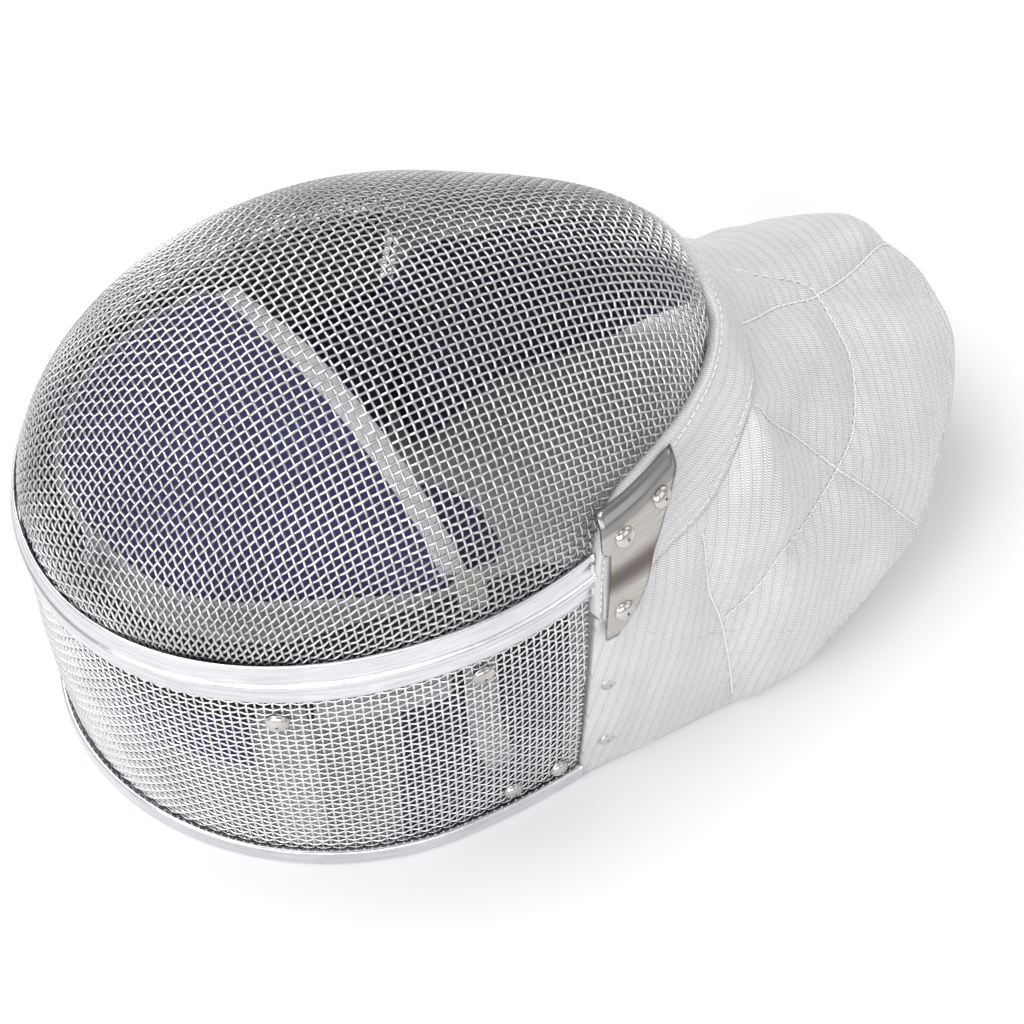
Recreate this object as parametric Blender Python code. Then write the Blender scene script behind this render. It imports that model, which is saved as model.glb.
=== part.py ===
"""A sabre fencing mask lying on its back with the face mesh up. +Z is up, -X is the crown end and +X the chin."""

import math

import bmesh
import bpy
import numpy as np

MM = 0.001

# Placing: the middle of the whole object's box stands over the origin
SHIFT_X = -5.71
SHIFT_Y = 0.0

# Front mesh, seen from above: an egg with its widest point at EGG_X
EGG_X = -50.0
EGG_CROWN = 121.0
EGG_CHIN = 124.3
EGG_HALF_WIDTH = 90.0
EGG_CROWN_POWER = 2.1
EGG_CHIN_POWER = 1.87
EGG_CHIN_FULL = 0.17
RIM_Z = 127.5
RIM_RISE = 0.0092
RIM_RISE_FROM_X = 20.0
DOME_TOP_Z = 210.2
DOME_PEAK_SHIFT = -2.2
DOME_RING_POWER = 2.26
DOME_CROWN_POWER = 0.63
DOME_CHIN_POWER = 0.70
DOME_CHIN_FULL = 0.01
MESH_THICK = 1.6
MESH_SKIRT = 7.0

# Rear opening outline, at the outer face of the rear hoop
HOOP_X = -59.8
HOOP_CROWN = 111.5
HOOP_CHIN = 183.5
HOOP_HALF_WIDTH = 101.5
HOOP_POWER = 1.92
HOOP_HEIGHT = 8.0
HOOP_THICK = 2.3
HOOP_END_X = -8.6
BAND_END_X = -0.4
BAND_HEIGHT = 20.0
WALL_BULGE = 3.0
GAP = 0.4

# Bib: arches across X, each with a half width at the floor and a height
ARCH_POWER = 2.3
ARCH_HEIGHT = (
    # x, height
    (-12.0, 240.0),
    (3.0, 225.0),
    (31.0, 185.0),
    (47.0, 169.0),
    (57.0, 163.5),
    (65.0, 160.0),
    (71.0, 157.3),
    (76.0, 154.0),
    (82.0, 140.5),
    (92.0, 127.0),
    (129.0, 104.0),
    (160.0, 86.0),
    (190.0, 67.0),
)
# How far the cloth stands above the even arch on its far side, at the crest of that side
FAR_LIFT = (
    # x, lift
    (-12.0, 0.0),
    (38.0, 0.0),
    (55.0, -2.5),
    (70.0, -8.0),
    (80.0, -13.0),
    (92.0, -13.8),
    (110.0, -11.0),
    (130.0, 2.0),
    (150.0, 13.5),
    (166.0, 19.0),
    (178.0, 14.0),
    (190.0, 6.0),
)
FAR_LIFT_POWER = 0.8
ARCH_HALF_WIDTH = (
    # x, half width
    (-12.0, 96.0),
    (30.0, 93.0),
    (58.0, 90.5),
    (83.0, 88.5),
    (109.0, 82.0),
    (131.0, 74.0),
    (153.0, 63.0),
    (178.0, 46.0),
    (190.0, 40.0),
)
# Both long edges of the bib's cloth, from the floor up to the middle
BIB_EDGES = (
    # share, top edge x, top edge z, border end share, hem x, hem z
    (0.00, -8.0, 0.3, 0.02, 83.0, 0.3),
    (0.10, -5.8, 33.0, 0.02, 97.0, 4.0),
    (0.20, -3.5, 66.0, 0.02, 109.0, 10.5),
    (0.30, -0.8, 97.0, 0.05, 121.0, 16.5),
    (0.40, 2.4, 127.0, 0.13, 131.0, 21.5),
    (0.50, 12.0, 142.0, 0.17, 143.0, 24.0),
    (0.60, 28.0, 144.0, 0.19, 152.0, 31.0),
    (0.70, 43.0, 144.0, 0.18, 158.5, 43.0),
    (0.80, 57.5, 146.6, 0.155, 169.0, 54.0),
    (0.90, 69.5, 151.0, 0.125, 179.0, 65.0),
    (1.00, 76.2, 153.4, 0.11, 186.0, 69.0),
)
BIB_THICK = 3.0
LINING_THICK = 1.2
BORDER_THICK = 1.8
# Quilting seams on the bib, as x and the angle round the arch, 0 at the middle and -90 at the near floor
SEAM_LENGTHWAYS = ((79.0, -12.0), (108.0, -3.0), (130.0, 0.0), (156.0, 10.0), (184.0, 34.0))
SEAM_LOOP = (
    (84.0, 26.0),
    (99.0, 13.0),
    (112.0, 7.0),
    (130.0, 0.0),
    (130.0, -15.0),
    (126.0, -27.0),
    (118.5, -38.0),
    (108.0, -45.0),
    (93.0, -53.0),
    (79.0, -61.0),
    (66.0, -68.0),
    (50.0, -72.5),
)
SEAM_NEAR = ((75.0, -33.0), (91.0, -35.0), (100.6, -40.0), (108.0, -45.0), (123.0, -55.0), (149.0, -77.0))
SEAM_SIDE = ((45.0, -55.0), (45.0, -64.0), (50.0, -72.5), (57.0, -89.0))
SEAMS = (SEAM_LENGTHWAYS, SEAM_LOOP, SEAM_NEAR, SEAM_SIDE, tuple((x, -a) for x, a in SEAM_SIDE))
SEAM_DENT = 1.6
PUFF = 2.4
PUFF_REACH = 11.0

# Crown pad, seen from above: the piped edge by the crown and the bound edge across
PAD_ARC = (
    # x, y, z
    (-50.0, -70.0, 119.0),
    (-92.0, -57.0, 122.0),
    (-127.0, -41.0, 123.0),
    (-143.0, -18.0, 123.0),
    (-151.0, 14.0, 123.0),
    (-145.0, 40.0, 123.0),
    (-128.0, 59.0, 123.0),
    (-104.0, 71.0, 123.0),
    (-78.0, 76.0, 123.0),
)
PAD_CHORD = (
    # x, y, z
    (-45.0, -67.0, 118.0),
    (-46.0, -46.0, 121.0),
    (-49.0, -24.0, 126.0),
    (-54.0, -2.0, 132.0),
    (-59.0, 18.0, 134.0),
    (-63.0, 36.0, 132.0),
    (-67.0, 52.0, 127.0),
    (-70.0, 64.0, 124.0),
    (-73.0, 74.0, 122.0),
)
PAD_THICK = 9.0

# Lappet below the crown pad's near end: its edge under the pad's binding, and its free edge
LAPPET_INNER = (
    # x, y, z
    (-43.0, -63.5, 116.0),
    (-43.0, -55.0, 117.2),
    (-43.6, -45.0, 118.7),
    (-45.0, -36.0, 120.9),
    (-45.5, -28.0, 122.6),
)
LAPPET_OUTER = (
    # x, y, z
    (-27.5, -63.5, 114.8),
    (-23.2, -57.5, 115.0),
    (-23.6, -48.6, 115.8),
    (-27.5, -37.0, 117.4),
    (-37.5, -29.0, 120.8),
)
LAPPET_THICK = 2.6

STATIONS = 38


def rising(x):
    """The front mesh rim's height at x."""
    return RIM_Z + RIM_RISE * np.maximum(0, np.asarray(x, float) - RIM_RISE_FROM_X) ** 2


def curve_through(rows, column=1):
    """A smooth function through a table's rows, with no overshoot."""
    xs = np.array([row[0] for row in rows], float)
    ys = np.array([row[column] for row in rows], float)
    h = np.diff(xs)
    s = np.diff(ys) / h
    m = np.concatenate([[s[0]], (s[:-1] + s[1:]) / 2, [s[-1]]])
    for i, slope in enumerate(s):
        if slope == 0:
            m[i] = m[i + 1] = 0
            continue
        a = m[i] / slope
        b = m[i + 1] / slope
        m[i] = 0 if a < 0 else m[i]
        m[i + 1] = 0 if b < 0 else m[i + 1]
        q = a * a + b * b
        if q > 9:
            m[i] = 3 / math.sqrt(q) * a * slope
            m[i + 1] = 3 / math.sqrt(q) * b * slope

    def value(x):
        x = np.clip(np.asarray(x, float), xs[0], xs[-1])
        i = np.clip(np.searchsorted(xs, x) - 1, 0, len(h) - 1)
        t = (x - xs[i]) / h[i]
        return (
            (1 + 2 * t) * (1 - t) ** 2 * ys[i]
            + t * (1 - t) ** 2 * h[i] * m[i]
            + t * t * (3 - 2 * t) * ys[i + 1]
            + t * t * (t - 1) * h[i] * m[i + 1]
        )

    return value


def egg(t, grow=0.0):
    """The front mesh's outline at the angle t, 0 at the chin and pi at the crown."""
    c = np.cos(t)
    s = np.sin(t)
    power = np.where(c < 0, EGG_CROWN_POWER, EGG_CHIN_POWER + EGG_CHIN_FULL * c**6)
    length = np.where(c < 0, EGG_CROWN, EGG_CHIN) + grow
    x = EGG_X + length * np.sign(c) * np.abs(c) ** (2 / power)
    y = (EGG_HALF_WIDTH + grow) * np.sign(s) * np.abs(s) ** (2 / power)
    return x, y


def hoop_line(t, grow=0.0):
    c = np.cos(t)
    s = np.sin(t)
    length = np.where(c < 0, HOOP_CROWN, HOOP_CHIN) + grow
    x = HOOP_X + length * np.sign(c) * np.abs(c) ** (2 / HOOP_POWER)
    y = (HOOP_HALF_WIDTH + grow) * np.sign(s) * np.abs(s) ** (2 / HOOP_POWER)
    return x, y


def horseshoe(outline, end_x, grow=0.0):
    """Points by share of length from the near end round the crown to the far end, both ends at end_x."""
    t = np.linspace(-math.pi, 0, 4001)[1:-1]
    x, y = outline(t, grow)
    keep = x <= end_x
    x = x[keep][::-1]
    y = y[keep][::-1]
    x = np.concatenate([x, x[::-1]])
    y = np.concatenate([y, -y[::-1]])
    run = np.concatenate([[0], np.cumsum(np.hypot(np.diff(x), np.diff(y)))])
    run /= run[-1]
    return lambda u: (np.interp(u, run, x), np.interp(u, run, y))


HOOP_AT = horseshoe(hoop_line, HOOP_END_X, -HOOP_THICK - GAP)
EGG_AT = horseshoe(egg, BAND_END_X)


def wall(u, v, off=0.0):
    """Outer face of the side mesh: u round from the near end, v from the floor (0) to the rim (1), moved out by off."""
    u, v = np.broadcast_arrays(np.asarray(u, float), np.asarray(v, float))

    def at(uu):
        hx, hy = HOOP_AT(uu)
        ex, ey = EGG_AT(uu)
        return hx, hy, ex, ey

    hx, hy, ex, ey = at(u)
    ax = at(np.clip(u + 0.004, 0, 1))
    bx = at(np.clip(u - 0.004, 0, 1))
    tx = (ax[0] - bx[0]) * (1 - v) + (ax[2] - bx[2]) * v
    ty = (ax[1] - bx[1]) * (1 - v) + (ax[3] - bx[3]) * v
    n = np.hypot(tx, ty)
    nx = -ty / n
    ny = tx / n
    side = np.sign(nx * (hx - EGG_X) + ny * hy)
    out = (off + WALL_BULGE * 4 * v * (1 - v)) * side
    x = hx * (1 - v) + ex * v + nx * out
    y = hy * (1 - v) + ey * v + ny * out
    return np.stack([x, y, v * rising(ex)], -1)


def dome(r, t, off=0.0):
    """Outer face of the front mesh: r from the peak (0) to the rim (1)."""
    x, y = egg(t)
    z = rising(x)
    full = 1 + DOME_CHIN_FULL * 4 * r * r * (1 - r * r) * np.maximum(0, np.cos(t))
    px = EGG_X + ((x - EGG_X) * r + DOME_PEAK_SHIFT * (1 - r * r)) * full
    k = 0.5 + 0.5 * np.cos(t)
    power = DOME_CROWN_POWER + (DOME_CHIN_POWER - DOME_CROWN_POWER) * k * k * (3 - 2 * k)
    lift = np.maximum(0.0, 1 - r**DOME_RING_POWER) ** power
    return np.stack([px, y * r * full, z + (DOME_TOP_Z - z) * lift], -1)


ARCH_Z = curve_through(ARCH_HEIGHT)
ARCH_Y = curve_through(ARCH_HALF_WIDTH)
ARCH_LIFT = curve_through(FAR_LIFT)


def arch(x, angle):
    """The bib's outer face at x and at an angle round its arch, in radians."""
    y = ARCH_Y(x) * np.sign(np.sin(angle)) * np.abs(np.sin(angle)) ** (2 / ARCH_POWER)
    z = ARCH_Z(x) * np.abs(np.cos(angle)) ** (2 / ARCH_POWER)
    round_far = np.clip(angle / (math.pi / 2), 0, 1) ** FAR_LIFT_POWER
    z = z + ARCH_LIFT(x) * np.sin(math.pi * round_far) ** 1.5
    return np.stack([x + 0 * angle, y, z], -1)


def angle_of(x, z):
    return np.arccos(np.clip(z / ARCH_Z(x), 0, 1) ** (ARCH_POWER / 2))


TOP_X = curve_through(BIB_EDGES, 1)
TOP_Z = curve_through(BIB_EDGES, 2)
BORDER_SHARE = curve_through(BIB_EDGES, 3)
HEM_X = curve_through(BIB_EDGES, 4)
HEM_Z = curve_through(BIB_EDGES, 5)


def bib_base(s, t):
    """The bib's face: s from the top edge (0) to the hem (1), t from the near floor (0) to the far floor (2)."""
    s, t = np.broadcast_arrays(np.asarray(s, float), np.asarray(t, float))
    half = np.where(t > 1, 2 - t, t)
    side = np.where(t > 1, 1.0, -1.0)
    x0 = TOP_X(half)
    x1 = HEM_X(half)
    a0 = angle_of(x0, TOP_Z(half))
    a1 = angle_of(x1, HEM_Z(half))
    a1 = np.where(half >= 1, 0, a1)
    a0 = np.where(half >= 1, 0, a0)
    return arch(x0 + (x1 - x0) * s, side * (a0 + (a1 - a0) * s))


def normals(points):
    """Unit normals of a grid of points, from its neighbours."""
    du = np.gradient(points, axis=0)
    dv = np.gradient(points, axis=1)
    n = np.cross(du, dv)
    return n / np.maximum(1e-9, np.linalg.norm(n, axis=-1, keepdims=True))


def seam_points():
    rows = []
    for seam in SEAMS:
        for (xa, aa), (xb, ab) in zip(seam, seam[1:]):
            for w in np.linspace(0, 1, 12):
                x = xa + (xb - xa) * w
                rows.append(arch(np.array(x), np.radians(aa + (ab - aa) * w)))
    return np.array(rows)


def quilted(points, outward, edge):
    """The face pushed out between the seams and in along them. edge is each point's distance to the panel's edge."""
    seams = seam_points()
    d = np.linalg.norm(points[..., None, :] - seams, axis=-1).min(-1)
    near = np.minimum(d, edge)
    puff = PUFF * (1 - np.exp(-((near / PUFF_REACH) ** 2))) - SEAM_DENT * np.exp(-((d / 4.0) ** 2))
    return points + outward * puff[..., None]


def new_object(name, points, faces, material, smooth=True):
    mesh = bpy.data.meshes.new(name)
    shifted = (np.asarray(points, float) + (SHIFT_X, SHIFT_Y, 0)) * MM
    mesh.from_pydata(shifted.tolist(), [], [tuple(int(i) for i in f) for f in faces])
    work = bmesh.new()
    work.from_mesh(mesh)
    bmesh.ops.remove_doubles(work, verts=work.verts, dist=1e-6)
    bmesh.ops.recalc_face_normals(work, faces=work.faces)
    if work.calc_volume(signed=True) < 0:
        bmesh.ops.reverse_faces(work, faces=work.faces)
    work.to_mesh(mesh)
    work.free()
    if smooth:
        mesh.polygons.foreach_set("use_smooth", [True] * len(mesh.polygons))
    mesh.materials.append(material)
    obj = bpy.data.objects.new(name, mesh)
    HOME.objects.link(obj)
    return obj


def sheet(name, outer, inner, material, smooth=True):
    """A closed sheet between two grids of the same size."""
    m, n = outer.shape[:2]
    points = np.concatenate([outer.reshape(-1, 3), inner.reshape(-1, 3)])
    low = m * n
    faces = []
    for i in range(m - 1):
        for j in range(n - 1):
            a = i * n + j
            b = a + 1
            c = a + n + 1
            d = a + n
            faces.append((a, b, c, d))
            faces.append((low + a, low + d, low + c, low + b))
    ring = [j for j in range(n)]
    ring += [i * n + n - 1 for i in range(1, m)]
    ring += [(m - 1) * n + j for j in range(n - 2, -1, -1)]
    ring += [i * n for i in range(m - 2, 0, -1)]
    for a, b in zip(ring, ring[1:] + ring[:1]):
        faces.append((a, low + a, low + b, b))
    return new_object(name, points, faces, material, smooth)


def rail(name, rings, material, smooth=True, closed=False):
    """A body swept through rings of points, each ring a closed section."""
    rings = np.asarray(rings)
    m, n = rings.shape[:2]
    faces = []
    for i in range(m if closed else m - 1):
        for j in range(n):
            a = i * n + j
            b = i * n + (j + 1) % n
            k = (i + 1) % m
            faces.append((a, b, k * n + (j + 1) % n, k * n + j))
    if not closed:
        faces.append(tuple(range(n)))
        faces.append(tuple((m - 1) * n + j for j in range(n)))
    return new_object(name, rings.reshape(-1, 3), faces, material, smooth)


def tube(name, path, radius, material, sides=6):
    """A round cord along a path."""
    path = np.asarray(path, float)
    along = np.gradient(path, axis=0)
    along /= np.linalg.norm(along, axis=1, keepdims=True)
    up = np.array([0, 0, 1.0])
    rings = []
    for p, d in zip(path, along):
        a = np.cross(d, up)
        a /= np.linalg.norm(a)
        b = np.cross(a, d)
        turn = np.arange(sides) * 2 * math.pi / sides
        rings.append([p + radius * (math.cos(w) * a + math.sin(w) * b) for w in turn])
    return rail(name, rings, material)


def resample(rows, count):
    rows = np.asarray(rows, float)
    run = np.concatenate([[0], np.cumsum(np.linalg.norm(np.diff(rows, axis=0), axis=1))])
    table = np.column_stack([run, rows])
    at = np.linspace(0, run[-1], count)
    return np.stack([curve_through(table, k)(at) for k in (1, 2, 3)], -1)


def material_of(name, colour, metallic, roughness):
    made = bpy.data.materials.new(name)
    made.use_nodes = True
    shader = made.node_tree.nodes["Principled BSDF"]
    shader.inputs["Base Color"].default_value = (*colour, 1)
    shader.inputs["Metallic"].default_value = metallic
    shader.inputs["Roughness"].default_value = roughness
    return made


# Clear the scene
for old in list(bpy.data.objects):
    bpy.data.objects.remove(old, do_unlink=True)
HOME = bpy.data.collections.new("fencing_mask")
bpy.context.scene.collection.children.link(HOME)

CHROME = material_of("chrome_steel", (0.80, 0.81, 0.83), 1.0, 0.12)
WIRE = material_of("tinned_wire", (0.70, 0.71, 0.73), 1.0, 0.30)
NICKEL = material_of("nickel_sheet", (0.66, 0.64, 0.61), 1.0, 0.32)
LAME = material_of("lame_cloth", (0.74, 0.73, 0.76), 0.0, 0.60)
BLUE = material_of("blue_cloth", (0.045, 0.040, 0.22), 0.0, 0.85)
NAVY = material_of("navy_cloth", (0.018, 0.017, 0.060), 0.0, 0.85)
BLACK = material_of("black_cloth", (0.012, 0.012, 0.012), 0.0, 0.85)
GREY = material_of("grey_tape", (0.34, 0.34, 0.36), 0.0, 0.80)

U = np.linspace(0, 1, STATIONS + 1)

# Rear hoop: a chromed strip round the crown, flat on the floor
rings = []
for u in U:
    ring = []
    for off, z in ((0.0, 0.6), (0.6, 0.0), (1.7, 0.0), (2.3, 0.6), (2.3, 7.0), (1.6, 8.0), (0.7, 8.0), (0.0, 7.0)):
        p = wall(u, 8.0 / RIM_Z, GAP + off)
        ring.append((p[0], p[1], z))
    rings.append(ring)
rail("rear_hoop", rings, CHROME)


# Dividing band: a chromed strip with a raised rib, round the joint of both meshes
def band_ring(u):
    top = float(rising(EGG_AT(u)[0]))
    ring = []
    for off, drop in (
        (0.0, 0.4),
        (0.0, 19.6),
        (0.9, 20.0),
        (1.3, 18.5),
        (1.2, 12.6),
        (2.4, 11.6),
        (2.4, 9.4),
        (1.2, 8.4),
        (1.5, 1.5),
        (0.9, 0.0),
    ):
        p = wall(u, 1 - drop / top, GAP + off)
        ring.append(p)
    return ring


rail("dividing_band", [band_ring(u) for u in U], CHROME)

# Side mesh: one body of cloth-thin wire weave, between the hoop and the band
v_low = 1.5 / RIM_Z
v_high = 1 - 11.0 / RIM_Z
rows = np.linspace(v_low, v_high, 4)
outer = wall(U[:, None], rows[None, :], 0.0)
inner = wall(U[:, None], rows[None, :], -MESH_THICK)
sheet("side_mesh", outer, inner, WIRE)

# Front mesh: the dome, with its edge tucked inside the band
RINGS = np.sin(np.linspace(0, math.pi / 2, 12))[1:]
TURN = np.linspace(-math.pi, math.pi, 49)[:-1]
grid = np.stack([dome(r, TURN) for r in RINGS])
rim_x, rim_y = egg(TURN)
skirt = np.stack([rim_x, rim_y, rising(rim_x) - MESH_SKIRT], -1)
grid = np.concatenate([grid, skirt[None]])
wrapped = np.concatenate([grid[:, -1:], grid, grid[:, :1]], axis=1)
facing = normals(wrapped)[:, 1:-1]
if facing[2, 0, 2] < 0:
    facing = -facing
facing[-1] = facing[-2] = normals(wrapped[-2:])[:, 1:-1][0] * np.sign((normals(wrapped[-2:])[0, 1] * facing[-3, 0]).sum())
inside = grid - facing * MESH_THICK
peak = dome(0.0, np.array(0.0))
n_turn = len(TURN)
points = [peak, peak - (0, 0, MESH_THICK)]
points = np.concatenate([np.array(points), grid.reshape(-1, 3), inside.reshape(-1, 3)])
faces = []
levels = grid.shape[0]
low = 2 + levels * n_turn
for j in range(n_turn):
    k = (j + 1) % n_turn
    faces.append((0, 2 + j, 2 + k))
    faces.append((1, low + k, low + j))
    for i in range(levels - 1):
        a = i * n_turn
        faces.append((2 + a + j, 2 + a + n_turn + j, 2 + a + n_turn + k, 2 + a + k))
        faces.append((low + a + j, low + a + k, low + a + n_turn + k, low + a + n_turn + j))
    a = (levels - 1) * n_turn
    faces.append((2 + a + j, low + a + j, low + a + k, 2 + a + k))
new_object("front_mesh", points, faces, WIRE)

# Bib: quilted cloth from the seam below the border to the hem
T = np.linspace(0, 2, 45)
T[0] = 0.0
S_ROWS = 13
start = BORDER_SHARE(np.where(T > 1, 2 - T, T)) + 0.004
share = start[:, None] + (1 - start[:, None]) * np.linspace(0, 1, S_ROWS)[None, :]
face = bib_base(share, T[:, None])
out = normals(face)
if out[len(T) // 2, 4, 2] < 0:
    out = -out
length = np.linalg.norm(face[:, -1] - face[:, 0], axis=-1)[:, None]
span = np.linspace(0, 1, S_ROWS)[None, :]
edge = np.minimum(span, 1 - span) * length
floor_edge = np.minimum(T, 2 - T)[:, None] * 350
puffed = quilted(face, out, np.minimum(edge, floor_edge))
inner = face - out * BIB_THICK
puffed[..., 2] = np.maximum(puffed[..., 2], 0.3)
inner[..., 2] = np.maximum(inner[..., 2], 0.3)
sheet("bib", puffed, inner, LAME)

# Bib border: the plain strip of the same cloth laid over the mesh edge
half = np.where(T > 1, 2 - T, T)
TB = T[(half > 0.30)]
start = BORDER_SHARE(np.where(TB > 1, 2 - TB, TB))
share = start[:, None] * np.linspace(0, 1, 4)[None, :] * 0.985
face = bib_base(share, TB[:, None])
out = normals(face)
if out[len(TB) // 2, 1, 2] < 0:
    out = -out
sheet("bib_border", face, face - out * BORDER_THICK, LAME)

# Bib lining, inside the quilted cloth
TL = np.linspace(0.04, 1.96, 27)
start = BORDER_SHARE(np.where(TL > 1, 2 - TL, TL)) + 0.03
share = start[:, None] + (0.94 - start[:, None]) * np.linspace(0, 1, 7)[None, :]
face = bib_base(share, TL[:, None])
out = normals(face)
if out[len(TL) // 2, 3, 2] < 0:
    out = -out
top = face - out * (BIB_THICK + 2.2)
low_face = top - out * LINING_THICK
top[..., 2] = np.maximum(top[..., 2], 0.8)
low_face[..., 2] = np.maximum(low_face[..., 2], 0.8)
sheet("bib_lining", top, low_face, NAVY)


# Wall padding
def wall_pad(name, u0, u1, z0, z1, thick, material, count, rows_n, x_back=2.8, ends=0.0):
    """A pad on the inside of the side mesh. ends is how much thicker it grows towards the cheeks."""
    us = np.linspace(u0, u1, count)
    zs = np.linspace(z0, z1, rows_n)
    top = rising(EGG_AT(us)[0])
    v = zs[None, :] / top[:, None]
    a = np.linspace(-1, 1, count)[:, None] ** 8
    b = np.linspace(-1, 1, rows_n)[None, :] ** 6
    cheek = np.clip((np.abs(us - 0.5) - 0.22) / 0.10, 0, 1)[:, None]
    t = (thick + ends * cheek * cheek * (3 - 2 * cheek)) * (1 - 0.55 * np.maximum(a, b))
    outer = wall(us[:, None], v, -MESH_THICK - x_back)
    inner = np.empty_like(outer)
    for i in range(count):
        for j in range(rows_n):
            inner[i, j] = wall(us[i], v[i, j], -MESH_THICK - x_back - t[i, j])
    return sheet(name, outer, inner, material)


wall_pad("black_lining_strip", 0.015, 0.985, 88.0, 121.1, 12.0, BLACK, 39, 4, ends=5.5)
wall_pad("side_pad_near", 0.012, 0.165, 3.0, 87.7, 15.0, NAVY, 10, 6)
wall_pad("side_pad_far", 0.691, 0.988, 3.0, 87.7, 15.0, NAVY, 15, 6)
wall_pad("crown_wall_pad", 0.288, 0.685, 58.0, 87.7, 13.0, BLUE, 21, 4)


def wall_tape(name, path, width, mirror):
    """A flat woven tape against the inside of the side mesh, along a path of wall shares and heights."""
    us = np.array([row[0] for row in path])
    zs = np.array([row[1] for row in path])
    run = np.linspace(0, 1, 7)
    at = np.linspace(0, 1, len(path))
    uu = np.interp(run, at, us)
    zz = np.interp(run, at, zs)
    around = 360.0
    du = np.gradient(uu) * around
    dz = np.gradient(zz)
    n = np.hypot(du, dz)
    grid_out = []
    grid_in = []
    for k in range(len(run)):
        row_out = []
        row_in = []
        for side in (-0.5, 0.5):
            u = uu[k] - dz[k] / n[k] * side * width / around
            z = zz[k] + du[k] / n[k] * side * width
            u = 1 - u if mirror else u
            v = z / float(rising(EGG_AT(u)[0]))
            row_out.append(wall(u, v, -MESH_THICK - 0.8))
            row_in.append(wall(u, v, -MESH_THICK - 1.9))
        grid_out.append(row_out)
        grid_in.append(row_in)
    return sheet(name, np.array(grid_out), np.array(grid_in), GREY)


for tag, mirror in (("near", False), ("far", True)):
    wall_tape(f"strap_tape_{tag}_1", ((0.262, 99.0), (0.254, 60.0), (0.25, 4.0)), 14.0, mirror)
    wall_tape(f"strap_tape_{tag}_2", ((0.236, 96.0), (0.18, 96.0), (0.126, 96.0)), 12.0, mirror)
    wall_tape(f"strap_tape_{tag}_3", ((0.101, 119.0), (0.10, 90.0), (0.094, 60.0), (0.078, 34.0)), 10.0, mirror)

# Crown pad: a cushion across the crown, piped on its arc and bound on its straight edge
P_N = 15
arc = resample(PAD_ARC, P_N)
chord = resample(PAD_CHORD, P_N)
Q = np.linspace(0, 1, 7)
body = arc[:, None] * (1 - Q)[None, :, None] + chord[:, None] * Q[None, :, None]
along = np.linspace(-1, 1, P_N)[:, None]
swell = (1 - along**6) * (1 - (2 * Q[None, :] - 1) ** 6)
top = body + np.array([0, 0, 1.0]) * (1.0 + 4.0 * swell)[..., None]
low_face = body - np.array([0, 0, 1.0]) * (1.0 + (PAD_THICK - 5) * swell)[..., None]
sheet("crown_pad", top, low_face, BLUE)


def sideways(path, towards):
    """Unit vectors square to the path and to +Z, on the side that holds the point towards."""
    d = np.gradient(path, axis=0)
    n = np.cross(d, (0, 0, 1.0))
    n /= np.linalg.norm(n, axis=1, keepdims=True)
    middle = path[len(path) // 2]
    return n if n[len(path) // 2] @ (np.asarray(towards) - middle) > 0 else -n


tube("crown_pad_piping", arc + sideways(arc, (-400, 0, 123)) * 2.0, 1.5, GREY)
ahead = sideways(chord, (400, 0, 123))
mid = chord + ahead * 3.4
rings = []
for p, d in zip(mid, ahead):
    up = np.array([0, 0, 1.0])
    rings.append([p - 2.9 * d - 2 * up, p + 2 * d - 1.6 * up, p + 2.9 * d, p + 2 * d + 1.6 * up, p - 2.9 * d + 2 * up])
rail("crown_pad_binding", rings, GREY)


# Lappet of the crown pad, and the riveted tab on the near padding
held = resample(LAPPET_INNER, 6)
free = resample(LAPPET_OUTER, 6)
grid = np.stack([held * (1 - w) + free * w for w in (0, 0.34, 0.67, 1)], 1)
sheet("pad_lappet", grid, grid - (0, 0, LAPPET_THICK), NAVY)

TAB = np.array((((-49.0, -82.0), (-44.5, -67.5)), ((-38.5, -83.5), (-34.0, -69.5))))
tab_top = np.concatenate([TAB, np.full((2, 2, 1), 122.5)], -1)
sheet("rivet_tab_near", tab_top, tab_top - (0, 0, 0.9), GREY)

# Side plates: a bent nickel sheet over the end of the band and the cloth's edge
PLATE_ROWS = (
    # height, x on its crown edge, x on its chin edge
    (87.5, 0.5, 5.0),
    (91.5, 0.8, 8.5),
    (96.5, 1.2, 13.0),
    (105.5, 2.2, 17.8),
    (117.0, 3.5, 21.3),
    (127.5, 4.5, 28.0),
    (129.0, 1.2, 29.0),
    (137.0, 1.2, 35.0),
)
PLATE_THICK = 1.2
PLATE_LIFT = 2.5


def on_arch(x, z, off, side):
    """A point above the bib's face, off away from it along the face's normal."""
    a = side * angle_of(np.array(x), z)
    p = arch(np.array(x), a)
    e = 0.5
    tx = arch(np.array(x + e), side * angle_of(np.array(x + e), z)) - p
    tz = arch(np.array(x), side * angle_of(np.array(x), z + e)) - p
    n = np.cross(tx, tz)
    n /= np.linalg.norm(n)
    if n[1] * side < 0:
        n = -n
    return p + n * off, n


def plate(name, side):
    outer = []
    inner = []
    for z, xa, xb in PLATE_ROWS:
        row_out = []
        row_in = []
        for w in (0, 0.33, 0.67, 1):
            x = xa + (xb - xa) * w
            p, n = on_arch(x, z, PLATE_LIFT, side)
            row_in.append(p)
            row_out.append(p + n * PLATE_THICK)
        outer.append(row_out)
        inner.append(row_in)
    # The folded flange, turned in over the mesh edge
    last_in = np.array(inner[-1])
    last_out = np.array(outer[-1])
    turn_in = np.array([0.0, -side * 1.0, 0.0])
    rise = np.array([0, 0, 1.0])
    outer.append(list(last_out + turn_in * 1.5 + rise * 5.2))
    inner.append(list(last_in + turn_in * 1.5 + rise * 4.0))
    outer.append(list(last_out + turn_in * 6.0 + rise * 8.2))
    inner.append(list(last_in + turn_in * 5.5 + rise * 7.0))
    return sheet(name, np.array(outer), np.array(inner), NICKEL, smooth=False)


plate("side_plate_near", -1)
plate("side_plate_far", 1)


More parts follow.
